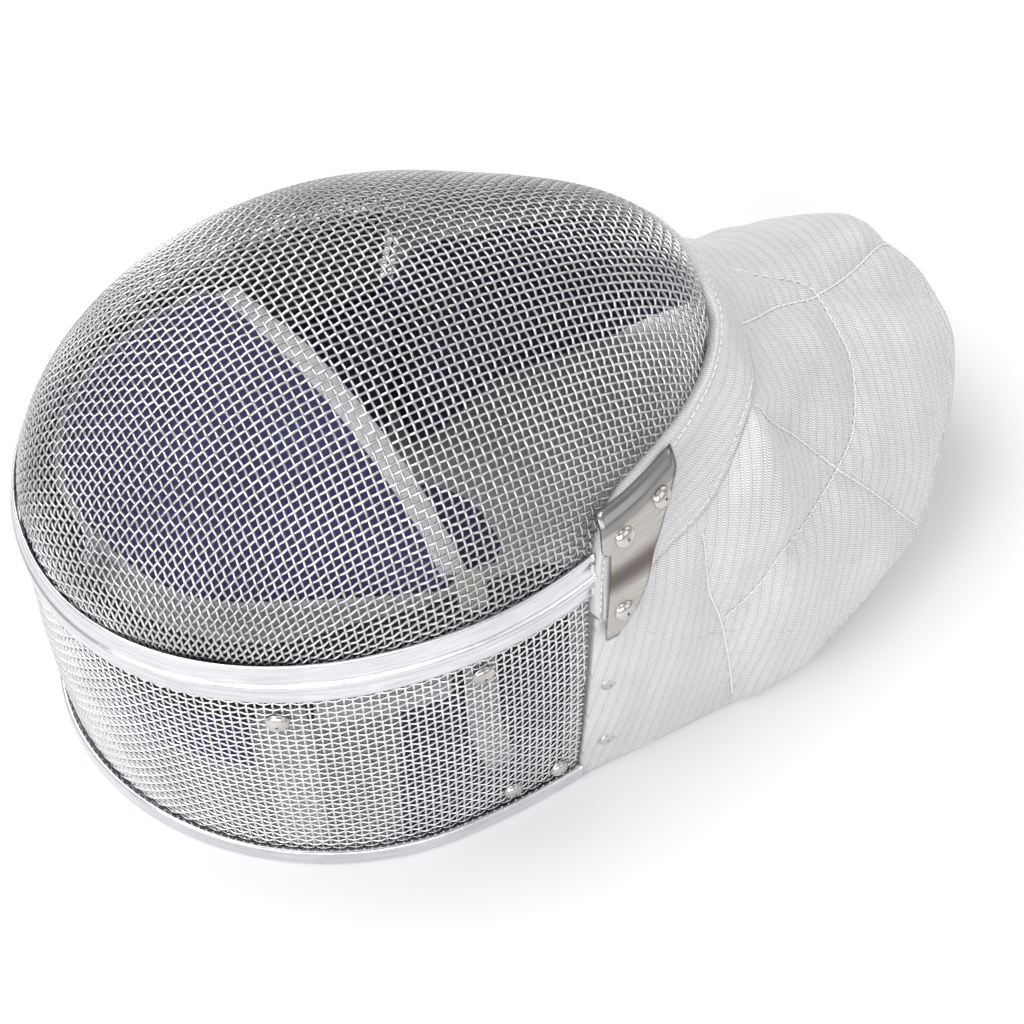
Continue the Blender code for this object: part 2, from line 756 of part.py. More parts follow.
def rivet(name, base, n, radius, height):
    """A domed rivet head standing on base along n."""
    n = np.asarray(n, float) / np.linalg.norm(n)
    a = np.cross(n, (0, 0, 1.0))
    a /= np.linalg.norm(a)
    b = np.cross(n, a)
    count = 8
    rings = []
    for share, lift in ((1.0, 0.0), (1.0, 0.35), (0.62, 1.0)):
        turn = np.arange(count) * 2 * math.pi / count
        rings.append([base + n * (lift * height) + radius * share * (math.cos(w) * a + math.sin(w) * b) for w in turn])
    return rail(name, rings, NICKEL)


for tag, side in (("near", -1), ("far", 1)):
    for k, (x, z) in enumerate(((27.0, 133.6), (10.0, 131.4), (8.0, 98.5))):
        p, n = on_arch(x, z, PLATE_LIFT + PLATE_THICK + 0.35, side)
        rivet(f"plate_rivet_{tag}_{k + 1}", p, n, 4.2, 1.8)
    for k, (x, z) in enumerate(((2.5, 58.0), (2.0, 21.0))):
        p, n = on_arch(x, z, 1.2, side)
        rivet(f"cloth_rivet_{tag}_{k + 1}", p, n, 3.2, 0.9)
    for k, (u, z) in enumerate(((0.264, 95.0), (0.102, 98.0), (0.068, 15.0), (0.022, 13.0))):
        uu = u if side < 0 else 1 - u
        v = z / RIM_Z
        p = wall(uu, v, GAP + 0.1)
        q = wall(uu, v, GAP + 1.1)
        rivet(f"mesh_rivet_{tag}_{k + 1}", p, q - p, 4.2 if k < 2 else 3.6, 1.8)
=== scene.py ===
"""Dresses the sabre fencing mask: woven wire, chrome, quilted silvery cloth, padding and tapes.

Lengths are in millimetres in the part's own frame before SHIFT and MM turn them into metres: +Z up,
-X the crown end and +X the chin."""

import math

import bpy
import numpy as np
from mathutils import Matrix, Vector, noise


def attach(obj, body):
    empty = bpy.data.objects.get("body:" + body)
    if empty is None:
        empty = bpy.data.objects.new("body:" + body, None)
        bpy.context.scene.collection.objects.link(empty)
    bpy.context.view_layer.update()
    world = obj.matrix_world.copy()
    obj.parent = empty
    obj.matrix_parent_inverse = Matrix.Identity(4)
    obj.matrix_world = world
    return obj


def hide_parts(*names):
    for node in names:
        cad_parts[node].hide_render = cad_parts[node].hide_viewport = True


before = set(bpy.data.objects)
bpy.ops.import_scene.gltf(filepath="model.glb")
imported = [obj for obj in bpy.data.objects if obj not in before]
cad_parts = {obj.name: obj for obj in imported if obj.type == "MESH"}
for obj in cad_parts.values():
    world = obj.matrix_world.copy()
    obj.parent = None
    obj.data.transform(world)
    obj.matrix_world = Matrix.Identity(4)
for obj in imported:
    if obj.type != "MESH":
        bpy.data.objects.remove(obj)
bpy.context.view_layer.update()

MM = 0.001
SHIFT = np.array([-5.71, 0.0, 0.0])

# Camera
camera = bpy.data.cameras.new("camera")
camera.sensor_width = 36.0
camera.lens = 99.983
camera.shift_x = 0.017235
camera.shift_y = -0.030248
camera.clip_start = 0.01
camera.clip_end = 20
eye = bpy.data.objects.new("camera", camera)
bpy.context.scene.collection.objects.link(eye)
right = Vector((0.9140, -0.4057, -0.0028)).normalized()
back = Vector((-0.2253, -0.5134, 0.8281))
back = (back - right * back.dot(right)).normalized()
up = back.cross(right)
turn = Matrix((right, up, back)).transposed().to_4x4()
turn.translation = Vector((-0.23656 + SHIFT[0] * MM, -0.53905, 0.92961))
eye.matrix_world = turn
bpy.context.scene.camera = eye

# Sizes shared with the solids
EGG_X = -50.0
EGG_CROWN = 121.0
EGG_CHIN = 124.3
EGG_HALF_WIDTH = 90.0
EGG_CROWN_POWER = 2.1
EGG_CHIN_POWER = 1.87
EGG_CHIN_FULL = 0.17
RIM_Z = 127.5
RIM_RISE = 0.0092
RIM_RISE_FROM_X = 20.0
DOME_TOP_Z = 210.2
DOME_PEAK_SHIFT = -2.2
DOME_RING_POWER = 2.26
DOME_CROWN_POWER = 0.63
DOME_CHIN_POWER = 0.70
DOME_CHIN_FULL = 0.01
MESH_THICK = 1.6
HOOP_X = -59.8
HOOP_CROWN = 111.5
HOOP_CHIN = 183.5
HOOP_HALF_WIDTH = 101.5
HOOP_POWER = 1.92
HOOP_THICK = 2.3
HOOP_END_X = -8.6
BAND_END_X = -0.4
WALL_BULGE = 3.0
GAP = 0.4
ARCH_POWER = 2.3
ARCH_HEIGHT = (
    (-12.0, 240.0), (3.0, 225.0), (31.0, 185.0), (47.0, 169.0), (57.0, 163.5), (65.0, 160.0), (71.0, 157.3),
    (76.0, 154.0), (82.0, 140.5), (92.0, 127.0), (129.0, 104.0), (160.0, 86.0), (190.0, 67.0),
)
FAR_LIFT = (
    (-12.0, 0.0), (38.0, 0.0), (55.0, -2.5), (70.0, -8.0), (80.0, -13.0), (92.0, -13.8), (110.0, -11.0),
    (130.0, 2.0), (150.0, 13.5), (166.0, 19.0), (178.0, 14.0), (190.0, 6.0),
)
FAR_LIFT_POWER = 0.8
ARCH_HALF_WIDTH = (
    (-12.0, 96.0), (30.0, 93.0), (58.0, 90.5), (83.0, 88.5), (109.0, 82.0), (131.0, 74.0), (153.0, 63.0),
    (178.0, 46.0), (190.0, 40.0),
)
# share, top edge x, top edge z, border end share, hem x, hem z
BIB_EDGES = (
    (0.00, -8.0, 0.3, 0.02, 83.0, 0.3),
    (0.10, -5.8, 33.0, 0.02, 97.0, 4.0),
    (0.20, -3.5, 66.0, 0.02, 109.0, 10.5),
    (0.30, -0.8, 97.0, 0.05, 121.0, 16.5),
    (0.40, 2.4, 127.0, 0.13, 131.0, 21.5),
    (0.50, 12.0, 142.0, 0.17, 143.0, 24.0),
    (0.60, 28.0, 144.0, 0.19, 152.0, 31.0),
    (0.70, 43.0, 144.0, 0.18, 158.5, 43.0),
    (0.80, 57.5, 146.6, 0.155, 169.0, 54.0),
    (0.90, 69.5, 151.0, 0.125, 179.0, 65.0),
    (1.00, 76.2, 153.4, 0.11, 186.0, 69.0),
)
BIB_THICK = 3.0
LINING_SWELL = 28.0
# Quilting seams as x and the angle round the arch, 0 at the middle and -90 at the near floor
SEAM_LENGTHWAYS = ((79.0, -12.0), (108.0, -3.0), (130.0, 0.0), (156.0, 10.0), (184.0, 34.0))
SEAM_LOOP = (
    (84.0, 26.0), (99.0, 13.0), (112.0, 7.0), (130.0, 0.0), (130.0, -15.0), (126.0, -27.0), (118.5, -38.0),
    (108.0, -45.0), (93.0, -53.0), (79.0, -61.0), (66.0, -68.0), (50.0, -72.5),
)
SEAM_NEAR = ((75.0, -33.0), (91.0, -35.0), (100.6, -40.0), (108.0, -45.0), (123.0, -55.0), (149.0, -77.0))
SEAM_SIDE = ((45.0, -55.0), (45.0, -64.0), (50.0, -72.5), (57.0, -89.0))
PAD_ARC = (
    (-50.0, -70.0, 119.0), (-92.0, -57.0, 122.0), (-127.0, -41.0, 123.0), (-143.0, -18.0, 123.0),
    (-151.0, 14.0, 123.0), (-145.0, 40.0, 123.0), (-128.0, 59.0, 123.0), (-104.0, 71.0, 123.0),
    (-78.0, 76.0, 123.0),
)
PAD_CHORD = (
    (-45.0, -67.0, 118.0), (-46.0, -46.0, 121.0), (-49.0, -24.0, 126.0), (-54.0, -2.0, 132.0),
    (-59.0, 18.0, 134.0), (-63.0, 36.0, 132.0), (-67.0, 52.0, 127.0), (-70.0, 64.0, 124.0), (-73.0, 74.0, 122.0),
)
PLATE_ROWS = (
    (87.5, 0.5, 5.0), (91.5, 0.8, 8.5), (96.5, 1.2, 13.0), (105.5, 2.2, 17.8), (117.0, 3.5, 21.3),
    (127.5, 4.5, 28.0), (129.0, 1.2, 29.0), (137.0, 1.2, 35.0),
)
PLATE_LIFT = 2.5
PLATE_THICK = 1.2
FRONT_PITCH = 3.09
NET_TURN = 5.0
SIDE_PITCH = 2.93
SIDE_ROWS = 37
SIDE_SLANT = 0.0167
SIDE_MARGIN = 0.0012
WIRE_RADIUS = 0.50
WIRE_CRIMP = 0.28
SIDE_LONG_CRIMP = 0.25
SIDE_TALL_RADIUS = 0.48
SIDE_TALL_CRIMP = 0.25
SIDE_FIRST_Z = 2.0
SIDE_LAST_GAP = 12.5
NET_RIM = 1.045
CHORD_TO_ARC = 1.0006
STRIPE_PERIOD = 4.4
WEAVE_ROWS = 0.84
CLOTH_FUZZ = 0.25
WALL_RUN = 360.0
PAD_GAP = 2.8
RIVET_SIDES = 20
FLOOR_HALF = 3.0
# radius share, height share
RIVET_PROFILE = ((1.0, -0.25), (1.0, 0.10), (0.97, 0.28), (0.88, 0.5), (0.7, 0.76), (0.42, 0.94), (0.12, 1.0))
HEM_SEAM = 3.6
BORDER_END = 0.302
CLOTH_CLEAR = 0.25
LINING_CLEAR = 0.8
QUILT_PUFF = 3.1
QUILT_REACH = 9.0
SEAM_DIP = 0.5
HEM_DIP = 0.7
HALF_RUN = 350.0
DOME_SLOPE = 125.0
BIB_MIDDLE = np.array([80.0, 0.0, 20.0])
RISE = np.array([0, 0, 1.0])


# Shape functions
def ease(x):
    """A smooth step from 0 to 1 over the same range of x."""
    return x * x * (3 - 2 * x)


def bulge(x, power):
    """1 across the middle of -1 to 1, falling to 0 at both ends."""
    return np.sqrt(np.clip(1 - np.abs(x) ** power, 0, 1))


def run_along(points):
    """The distance along a path to each of its points, or along each column of a grid."""
    steps = np.linalg.norm(np.diff(points, axis=0), axis=-1)
    return np.concatenate([np.zeros_like(steps[:1]), np.cumsum(steps, axis=0)])


def sample(at, run, points):
    """The points of a path at these distances along it."""
    return np.stack([np.interp(at, run, points[:, k]) for k in range(points.shape[1])], -1)


def between(a, b, shares):
    """A grid of points from one path to another."""
    return a[:, None] * (1 - shares)[None, :, None] + b[:, None] * shares[None, :, None]


def keep_above(grid, least):
    grid[..., 2] = np.maximum(grid[..., 2], least)


def floor_share(t):
    """The share from the floor (0) to the crest (1), for t from the near floor (0) to the far floor (2)."""
    return np.where(t > 1, 2 - t, t)


def rising(x):
    return RIM_Z + RIM_RISE * np.maximum(0, np.asarray(x, float) - RIM_RISE_FROM_X) ** 2


def curve_through(rows, column=1):
    """A smooth function through a table's rows, with no overshoot."""
    xs = np.array([row[0] for row in rows], float)
    ys = np.array([row[column] for row in rows], float)
    h = np.diff(xs)
    s = np.diff(ys) / h
    m = np.concatenate([[s[0]], (s[:-1] + s[1:]) / 2, [s[-1]]])
    for i, slope in enumerate(s):
        if slope == 0:
            m[i] = m[i + 1] = 0
            continue
        a = m[i] / slope
        b = m[i + 1] / slope
        m[i] = 0 if a < 0 else m[i]
        m[i + 1] = 0 if b < 0 else m[i + 1]
        q = a * a + b * b
        if q > 9:
            m[i] = 3 / math.sqrt(q) * a * slope
            m[i + 1] = 3 / math.sqrt(q) * b * slope

    def value(x):
        x = np.clip(np.asarray(x, float), xs[0], xs[-1])
        i = np.clip(np.searchsorted(xs, x) - 1, 0, len(h) - 1)
        t = (x - xs[i]) / h[i]
        return (
            (1 + 2 * t) * (1 - t) ** 2 * ys[i]
            + t * (1 - t) ** 2 * h[i] * m[i]
            + t * t * (3 - 2 * t) * ys[i + 1]
            + t * t * (t - 1) * h[i] * m[i + 1]
        )

    return value


def oval(t, middle, crown, chin, half_width, power):
    """A rounded outline at the angles t, longer towards the chin than towards the crown."""
    c = np.cos(t)
    s = np.sin(t)
    x = middle + np.where(c < 0, crown, chin) * np.sign(c) * np.abs(c) ** (2 / power)
    return x, half_width * np.sign(s) * np.abs(s) ** (2 / power)


def egg(t, grow=0.0):
    c = np.cos(t)
    power = np.where(c < 0, EGG_CROWN_POWER, EGG_CHIN_POWER + EGG_CHIN_FULL * c**6)
    return oval(t, EGG_X, EGG_CROWN + grow, EGG_CHIN + grow, EGG_HALF_WIDTH + grow, power)


def hoop_line(t, grow=0.0):
    return oval(t, HOOP_X, HOOP_CROWN + grow, HOOP_CHIN + grow, HOOP_HALF_WIDTH + grow, HOOP_POWER)


def horseshoe(outline, end_x, grow=0.0):
    """Points by share of length from the near end round the crown to the far end, both ends at end_x."""
    t = np.linspace(-math.pi, 0, 4001)[1:-1]
    x, y = outline(t, grow)
    keep = x <= end_x
    x = x[keep][::-1]
    y = y[keep][::-1]
    x = np.concatenate([x, x[::-1]])
    y = np.concatenate([y, -y[::-1]])
    run = np.concatenate([[0], np.cumsum(np.hypot(np.diff(x), np.diff(y)))])
    return (lambda u: (np.interp(u, run / run[-1], x), np.interp(u, run / run[-1], y))), run[-1]


HOOP_AT, HOOP_LENGTH = horseshoe(hoop_line, HOOP_END_X, -HOOP_THICK - GAP)
EGG_AT, EGG_LENGTH = horseshoe(egg, BAND_END_X)


def wall(u, v, off=0.0):
    """Outer face of the side mesh, moved out by off: u round from the near end, v from floor (0) to rim (1)."""
    u, v = np.broadcast_arrays(np.asarray(u, float), np.asarray(v, float))

    def at(uu):
        return (*HOOP_AT(uu), *EGG_AT(uu))

    hx, hy, ex, ey = at(u)
    ax = at(np.clip(u + 0.004, 0, 1))
    bx = at(np.clip(u - 0.004, 0, 1))
    tx = (ax[0] - bx[0]) * (1 - v) + (ax[2] - bx[2]) * v
    ty = (ax[1] - bx[1]) * (1 - v) + (ax[3] - bx[3]) * v
    n = np.hypot(tx, ty)
    nx = -ty / n
    ny = tx / n
    side = np.sign(nx * (hx - EGG_X) + ny * hy)
    out = (off + WALL_BULGE * 4 * v * (1 - v)) * side
    x = hx * (1 - v) + ex * v + nx * out
    y = hy * (1 - v) + ey * v + ny * out
    return np.stack([x, y, v * rising(ex)], -1)


def dome_chart(p, q):
    """The front mesh by a flat chart: peak at (0, 0), rim on the unit circle, straight down past it."""
    rho = np.hypot(p, q)
    t = np.arctan2(q, p)
    k = 0.5 + 0.5 * np.cos(t)
    power = DOME_CROWN_POWER + (DOME_CHIN_POWER - DOME_CROWN_POWER) * ease(k)
    r = 1 - np.maximum(0, 1 - rho) ** (1 / power)
    x, y = egg(t)
    z = rising(x)
    full = 1 + DOME_CHIN_FULL * 4 * r * r * (1 - r * r) * np.maximum(0, np.cos(t))
    lift = np.maximum(0, 1 - r**DOME_RING_POWER) ** power
    px = EGG_X + ((x - EGG_X) * r + DOME_PEAK_SHIFT * (1 - r * r)) * full
    pz = z + (DOME_TOP_Z - z) * lift - DOME_SLOPE * np.maximum(0, rho - 1)
    return np.stack([px, y * r * full, pz], -1)


ARCH_Z = curve_through(ARCH_HEIGHT)
ARCH_Y = curve_through(ARCH_HALF_WIDTH)
ARCH_LIFT = curve_through(FAR_LIFT)


def arch(x, angle):
    y = ARCH_Y(x) * np.sign(np.sin(angle)) * np.abs(np.sin(angle)) ** (2 / ARCH_POWER)
    z = ARCH_Z(x) * np.abs(np.cos(angle)) ** (2 / ARCH_POWER)
    round_far = np.clip(angle / (math.pi / 2), 0, 1) ** FAR_LIFT_POWER
    z = z + ARCH_LIFT(x) * np.sin(math.pi * round_far) ** 1.5
    return np.stack([x + 0 * angle, y, z], -1)


def angle_of(x, z):
    return np.arccos(np.clip(z / ARCH_Z(x), 0, 1) ** (ARCH_POWER / 2))


TOP_X, TOP_Z, BORDER_SHARE, HEM_X, HEM_Z = (curve_through(BIB_EDGES, k) for k in (1, 2, 3, 4, 5))


CREST_TOP = float(angle_of(TOP_X(1.0), TOP_Z(1.0)))
CREST_HEM = float(angle_of(HEM_X(1.0), HEM_Z(1.0)))


def bib_base(s, t):
    """The bib's face: s from the top edge (0) to the hem (1), t from near floor (0) to far floor (2)."""
    s, t = np.broadcast_arrays(np.asarray(s, float), np.asarray(t, float))
    half = floor_share(t)
    side = np.where(t > 1, 1.0, -1.0)
    x0 = TOP_X(half)
    x1 = HEM_X(half)
    crest = half**40
    a0 = angle_of(x0, TOP_Z(half)) - CREST_TOP * crest
    a1 = angle_of(x1, HEM_Z(half)) - CREST_HEM * crest
    return arch(x0 + (x1 - x0) * s, side * (a0 + (a1 - a0) * s))


def even_shares(first, last, count):
    """Values of t that lie evenly along the bib's middle, from floor to floor."""
    t = np.linspace(first, last, 4001)
    run = run_along(bib_base(0.5, t))
    return np.interp(np.linspace(0, run[-1], count), run, t)


def unit(v):
    return v / np.maximum(1e-9, np.linalg.norm(v, axis=-1, keepdims=True))


def normals(points):
    return unit(np.cross(np.gradient(points, axis=0), np.gradient(points, axis=1)))


def resample(rows, count):
    rows = np.asarray(rows, float)
    run = run_along(rows)
    table = np.column_stack([run, rows])
    at = np.linspace(0, run[-1], count)
    return np.stack([curve_through(table, k + 1)(at) for k in range(rows.shape[1])], -1)


def bumps(points, scale, seed=0.0):
    """Smooth noise between about -1 and 1 at each point, scale in millimetres."""
    flat = np.asarray(points, float).reshape(-1, 3) / scale + seed
    got = [noise.noise(Vector(p)) for p in flat]
    return np.array(got).reshape(np.shape(points)[:-1])


# Mesh making
def build(name, points, quads, material, uv=None):
    """A mesh piece from points in millimetres and an array of four-cornered faces."""
    points = (np.asarray(points, np.float64).reshape(-1, 3) + SHIFT) * MM
    quads = np.asarray(quads, np.int32)
    mesh = bpy.data.meshes.new(name)
    mesh.vertices.add(len(points))
    mesh.vertices.foreach_set("co", points.astype(np.float32).ravel())
    mesh.loops.add(quads.size)
    mesh.loops.foreach_set("vertex_index", quads.ravel())
    mesh.polygons.add(len(quads))
    mesh.polygons.foreach_set("loop_start", np.arange(len(quads), dtype=np.int32) * quads.shape[1])
    mesh.update(calc_edges=True)
    mesh.validate()
    mesh.polygons.foreach_set("use_smooth", np.full(len(mesh.polygons), True))
    if uv is not None:
        layer = mesh.uv_layers.new(name="cloth")
        layer.data.foreach_set("uv", np.asarray(uv, np.float32).reshape(-1, 2)[quads.ravel()].ravel())
    mesh.materials.append(material)
    obj = bpy.data.objects.new(name, mesh)
    bpy.context.scene.collection.objects.link(obj)
    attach(obj, "root")
    return obj


def dress(piece, node):
    """Hides this node, so that the piece takes its place."""
    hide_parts(node)


def cloth_sheet(name, node, grids, material, uv=None):
    """A sewn sheet of cloth between two grids, in this node's place."""
    piece = closed_sheet(name, *grids, material, uv)
    dress(piece, node)


def grid_faces(m, n, base=0, flip=False, wrap=False):
    i = np.arange(m - 1)[:, None]
    j = np.arange(n if wrap else n - 1)[None, :]
    k = (j + 1) % n
    a = base + i * n + j
    b = base + i * n + k
    c = base + (i + 1) * n + k
    d = base + (i + 1) * n + j
    quads = np.stack([a, b, c, d], -1).reshape(-1, 4)
    return quads[:, ::-1] if flip else quads


def facing_out(points, quads):
    """The same faces, turned so that the closed body's volume is positive."""
    p = np.asarray(points).reshape(-1, 3)
    a, b, c, d = (p[quads[:, k]] for k in range(4))
    volume = (np.cross(a, b) * c).sum() + (np.cross(a, c) * d).sum()
    return quads if volume > 0 else quads[:, ::-1]


def closed_sheet(name, outer, inner, material, uv=None):
    """A closed body between two grids of the same size, with its rim filled."""
    m, n = outer.shape[:2]
    points = np.concatenate([outer.reshape(-1, 3), inner.reshape(-1, 3)])
    low = m * n
    ring = list(range(n)) + [i * n + n - 1 for i in range(1, m)]
    ring += [(m - 1) * n + j for j in range(n - 2, -1, -1)] + [i * n for i in range(m - 2, 0, -1)]
    ring = np.array(ring)
    after = np.roll(ring, -1)
    rim = np.stack([ring, low + ring, low + after, after], -1)
    quads = np.concatenate([grid_faces(m, n), grid_faces(m, n, low, flip=True), rim])
    quads = facing_out(points, quads)
    if uv is not None:
        uv = np.concatenate([uv.reshape(-1, 2), uv.reshape(-1, 2)])
    return build(name, points, quads, material, uv)


def loft(name, rings, material, uv=None):
    """A body swept through closed rings of points (an even number each)."""
    rings = np.asarray(rings, float)
    m, n = rings.shape[:2]
    quads = [grid_faces(m, n, wrap=True)]
    for base, sign in ((0, 1), ((m - 1) * n, -1)):
        j = np.arange(n // 2 - 1)
        cap = base + np.stack([j, j + 1, n - 2 - j, n - 1 - j], -1)
        quads.append(cap[:, ::sign])
    quads = facing_out(rings, np.concatenate(quads))
    return build(name, rings, quads, material, uv)


def rings_round(path, a, b, radius, sides, turn=0.0):
    """A ring of points round each point of a path, in the plane of a and b."""
    w = (np.arange(sides) + turn) * 2 * math.pi / sides
    circle = np.cos(w)[None, :, None] * a[:, None] + np.sin(w)[None, :, None] * b[:, None]
    return path[:, None] + radius * circle


def tube_rings(path, radius, sides):
    d = unit(np.gradient(path, axis=0))
    a = unit(np.cross(d, RISE))
    return rings_round(path, a, np.cross(a, d), radius, sides)


def merge(parts):
    """Joins (points, quads) pairs."""
    points = []
    quads = []
    base = 0
    for p, q in parts:
        p = np.asarray(p).reshape(-1, 3)
        points.append(p)
        quads.append(np.asarray(q) + base)
        base += len(p)
    return np.concatenate(points), np.concatenate(quads)


# Materials
class Nodes:
    """Short names for shader nodes."""

    def __init__(self, name):
        self.material = bpy.data.materials.new(name)
        self.material.use_nodes = True
        self.tree = self.material.node_tree
        self.shader = self.tree.nodes["Principled BSDF"]

    def add(self, kind, **settings):
        node = self.tree.nodes.new(kind)
        for key, value in settings.items():
            setattr(node, key, value)
        return node

    def link(self, a, b):
        self.tree.links.new(a, b)

    def put(self, socket, value):
        if hasattr(value, "is_output"):
            self.link(value, socket)
        else:
            socket.default_value = value

    def math(self, operation, a, b=0.0, c=0.0):
        node = self.add("ShaderNodeMath", operation=operation)
        self.put(node.inputs[0], a)
        self.put(node.inputs[1], b)
        self.put(node.inputs[2], c)
        return node.outputs[0]

    def times(self, a, b):
        return self.math("MULTIPLY", a, b)

    def split(self, vector):
        node = self.add("ShaderNodeSeparateXYZ")
        self.link(vector, node.inputs[0])
        return node.outputs

    def smooth(self, value, low, high, to_low=0.0, to_high=1.0):
        node = self.add("ShaderNodeMapRange", interpolation_type="SMOOTHSTEP")
        self.put(node.inputs[0], value)
        for k, number in enumerate((low, high, to_low, to_high)):
            node.inputs[k + 1].default_value = number
        return node.outputs[0]

    def position(self):
        return self.add("ShaderNodeTexCoord").outputs["Object"]

    def noise(self, scale, detail=3.0, rough=0.55, vector=None):
        node = self.add("ShaderNodeTexNoise")
        node.inputs["Scale"].default_value = scale
        node.inputs["Detail"].default_value = detail
        node.inputs["Roughness"].default_value = rough
        self.link(vector or self.position(), node.inputs["Vector"])
        return node.outputs["Fac"]

    def mix(self, share, a, b):
        node = self.add("ShaderNodeMix", data_type="RGBA")
        self.put(node.inputs["Factor"], share)
        for socket, value in ((node.inputs[6], a), (node.inputs[7], b)):
            self.put(socket, value if hasattr(value, "is_output") else (*value, 1.0))
        return node.outputs[2]

    def bump(self, height, strength, distance, below=None):
        node = self.add("ShaderNodeBump")
        node.inputs["Strength"].default_value = strength
        node.inputs["Distance"].default_value = distance
        self.link(height, node.inputs["Height"])
        if below is not None:
            self.link(below, node.inputs["Normal"])
        return node.outputs["Normal"]

    def uv(self):
        return self.split(self.add("ShaderNodeUVMap", uv_map="cloth").outputs[0])[:2]

    def finish(self, colour, rough, normal, metallic=1.0, sheen=0.0, sheen_rough=0.5, tint=(1, 1, 1)):
        """Sets the shader's inputs from values or sockets, and gives the material."""
        values = {
            "Base Color": colour, "Roughness": rough, "Normal": normal, "Metallic": metallic,
            "Sheen Weight": sheen, "Sheen Roughness": sheen_rough, "Sheen Tint": (*tint, 1),
        }
        for name, value in values.items():
            self.put(self.shader.inputs[name], value)
        return self.material


def metal(name, colour, dark, rough, rough_more, grain, scratch=0.15):
    """Bare or plated metal with faint clouding, wear and fine scratches."""
    n = Nodes(name)
    cloud = n.smooth(n.noise(60.0), 0.35, 0.72)
    fine = n.noise(grain, 4.0, 0.6)
    shine = n.smooth(fine, 0.3, 0.75, rough, rough_more)
    return n.finish(n.mix(cloud, colour, dark), shine, n.bump(fine, scratch, 0.0002))


def plate_metal(name):
    """Brushed nickel sheet: light ends, a painted dark reflection as a belt across the middle, and a darker
    flange on top.
    """
    n = Nodes(name)
    x, _, height = n.split(n.position())
    # Painted reflection: a dark belt round the middle height stands in for the dark reflection across the plate.
    reflection_belt = n.math("ABSOLUTE", n.math("SUBTRACT", height, 0.1165))
    reflection_belt = n.smooth(reflection_belt, 0.001, 0.009, 1.0, 0.0)
    flange = n.smooth(height, 0.1365, 0.1385)
    join = n.add("ShaderNodeCombineXYZ")
    n.link(n.times(x, 60.0), join.inputs[0])
    n.link(n.times(height, 2200.0), join.inputs[2])
    streak = n.noise(1.0, 4.0, 0.65, join.outputs[0])
    base = n.mix(n.smooth(streak, 0.35, 0.65), (0.40, 0.38, 0.355), (0.54, 0.52, 0.49))
    base = n.mix(n.times(reflection_belt, 0.95), base, (0.13, 0.105, 0.095))
    base = n.mix(n.times(flange, 0.9), base, (0.25, 0.245, 0.24))
    return n.finish(base, n.smooth(streak, 0.3, 0.7, 0.18, 0.32), n.bump(streak, 0.15, 0.0002))


def reflection_streaked_metal(name, colour, dark, rough, rough_more):
    """Plated strip with fine streaks along its length in roughness and colour; the darker streaks in the colour
    are partly painted dark reflections and partly drawn grain. UV in millimetres: along, across.
    """
    n = Nodes(name)
    u, v = n.uv()
    join = n.add("ShaderNodeCombineXYZ")
    n.link(n.times(u, 0.035), join.inputs[0])
    n.link(n.times(v, 1.0), join.inputs[1])
    streak = n.noise(1.6, 5.0, 0.7, join.outputs[0])
    cloud = n.noise(35.0, 3.0)
    tone = n.math("ADD", n.times(streak, 0.75), n.times(cloud, 0.25))
    # Painted reflection: the mix towards dark along the streaks stands in partly for dark reflections, partly
    # for drawn grain.
    base = n.mix(n.smooth(tone, 0.36, 0.64), dark, colour)
    return n.finish(base, n.smooth(streak, 0.3, 0.7, rough, rough_more), n.bump(streak, 0.2, 0.0003))


def woven_cloth(name, colour, dark, pitch, rough=0.9, sheen=0.3, sheen_tint=(1, 1, 1)):
    """Plain woven or brushed cloth by its own coordinates, in millimetres."""
    n = Nodes(name)
    x, y, z = n.split(n.position())
    along = n.times(n.math("ADD", x, n.times(z, 0.35)), 1000 * math.tau / pitch)
    across = n.times(n.math("ADD", y, n.times(z, 0.8)), 1000 * math.tau / pitch)
    weave = n.times(n.math("SINE", along), n.math("SINE", across))
    weave = n.math("MULTIPLY_ADD", weave, 0.5, 0.5)
    soft = n.noise(900.0, 4.0, 0.7)
    height = n.times(weave, 1 - CLOTH_FUZZ)
    height = n.math("ADD", height, n.times(soft, CLOTH_FUZZ * 2))
    broad = n.smooth(n.noise(45.0), 0.3, 0.7)
    shade = n.math("ADD", n.times(height, 0.55), n.times(broad, 0.45))
    return n.finish(n.mix(shade, dark, colour), rough, n.bump(height, 0.6, 0.0004), 0.0, sheen, tint=sheen_tint)


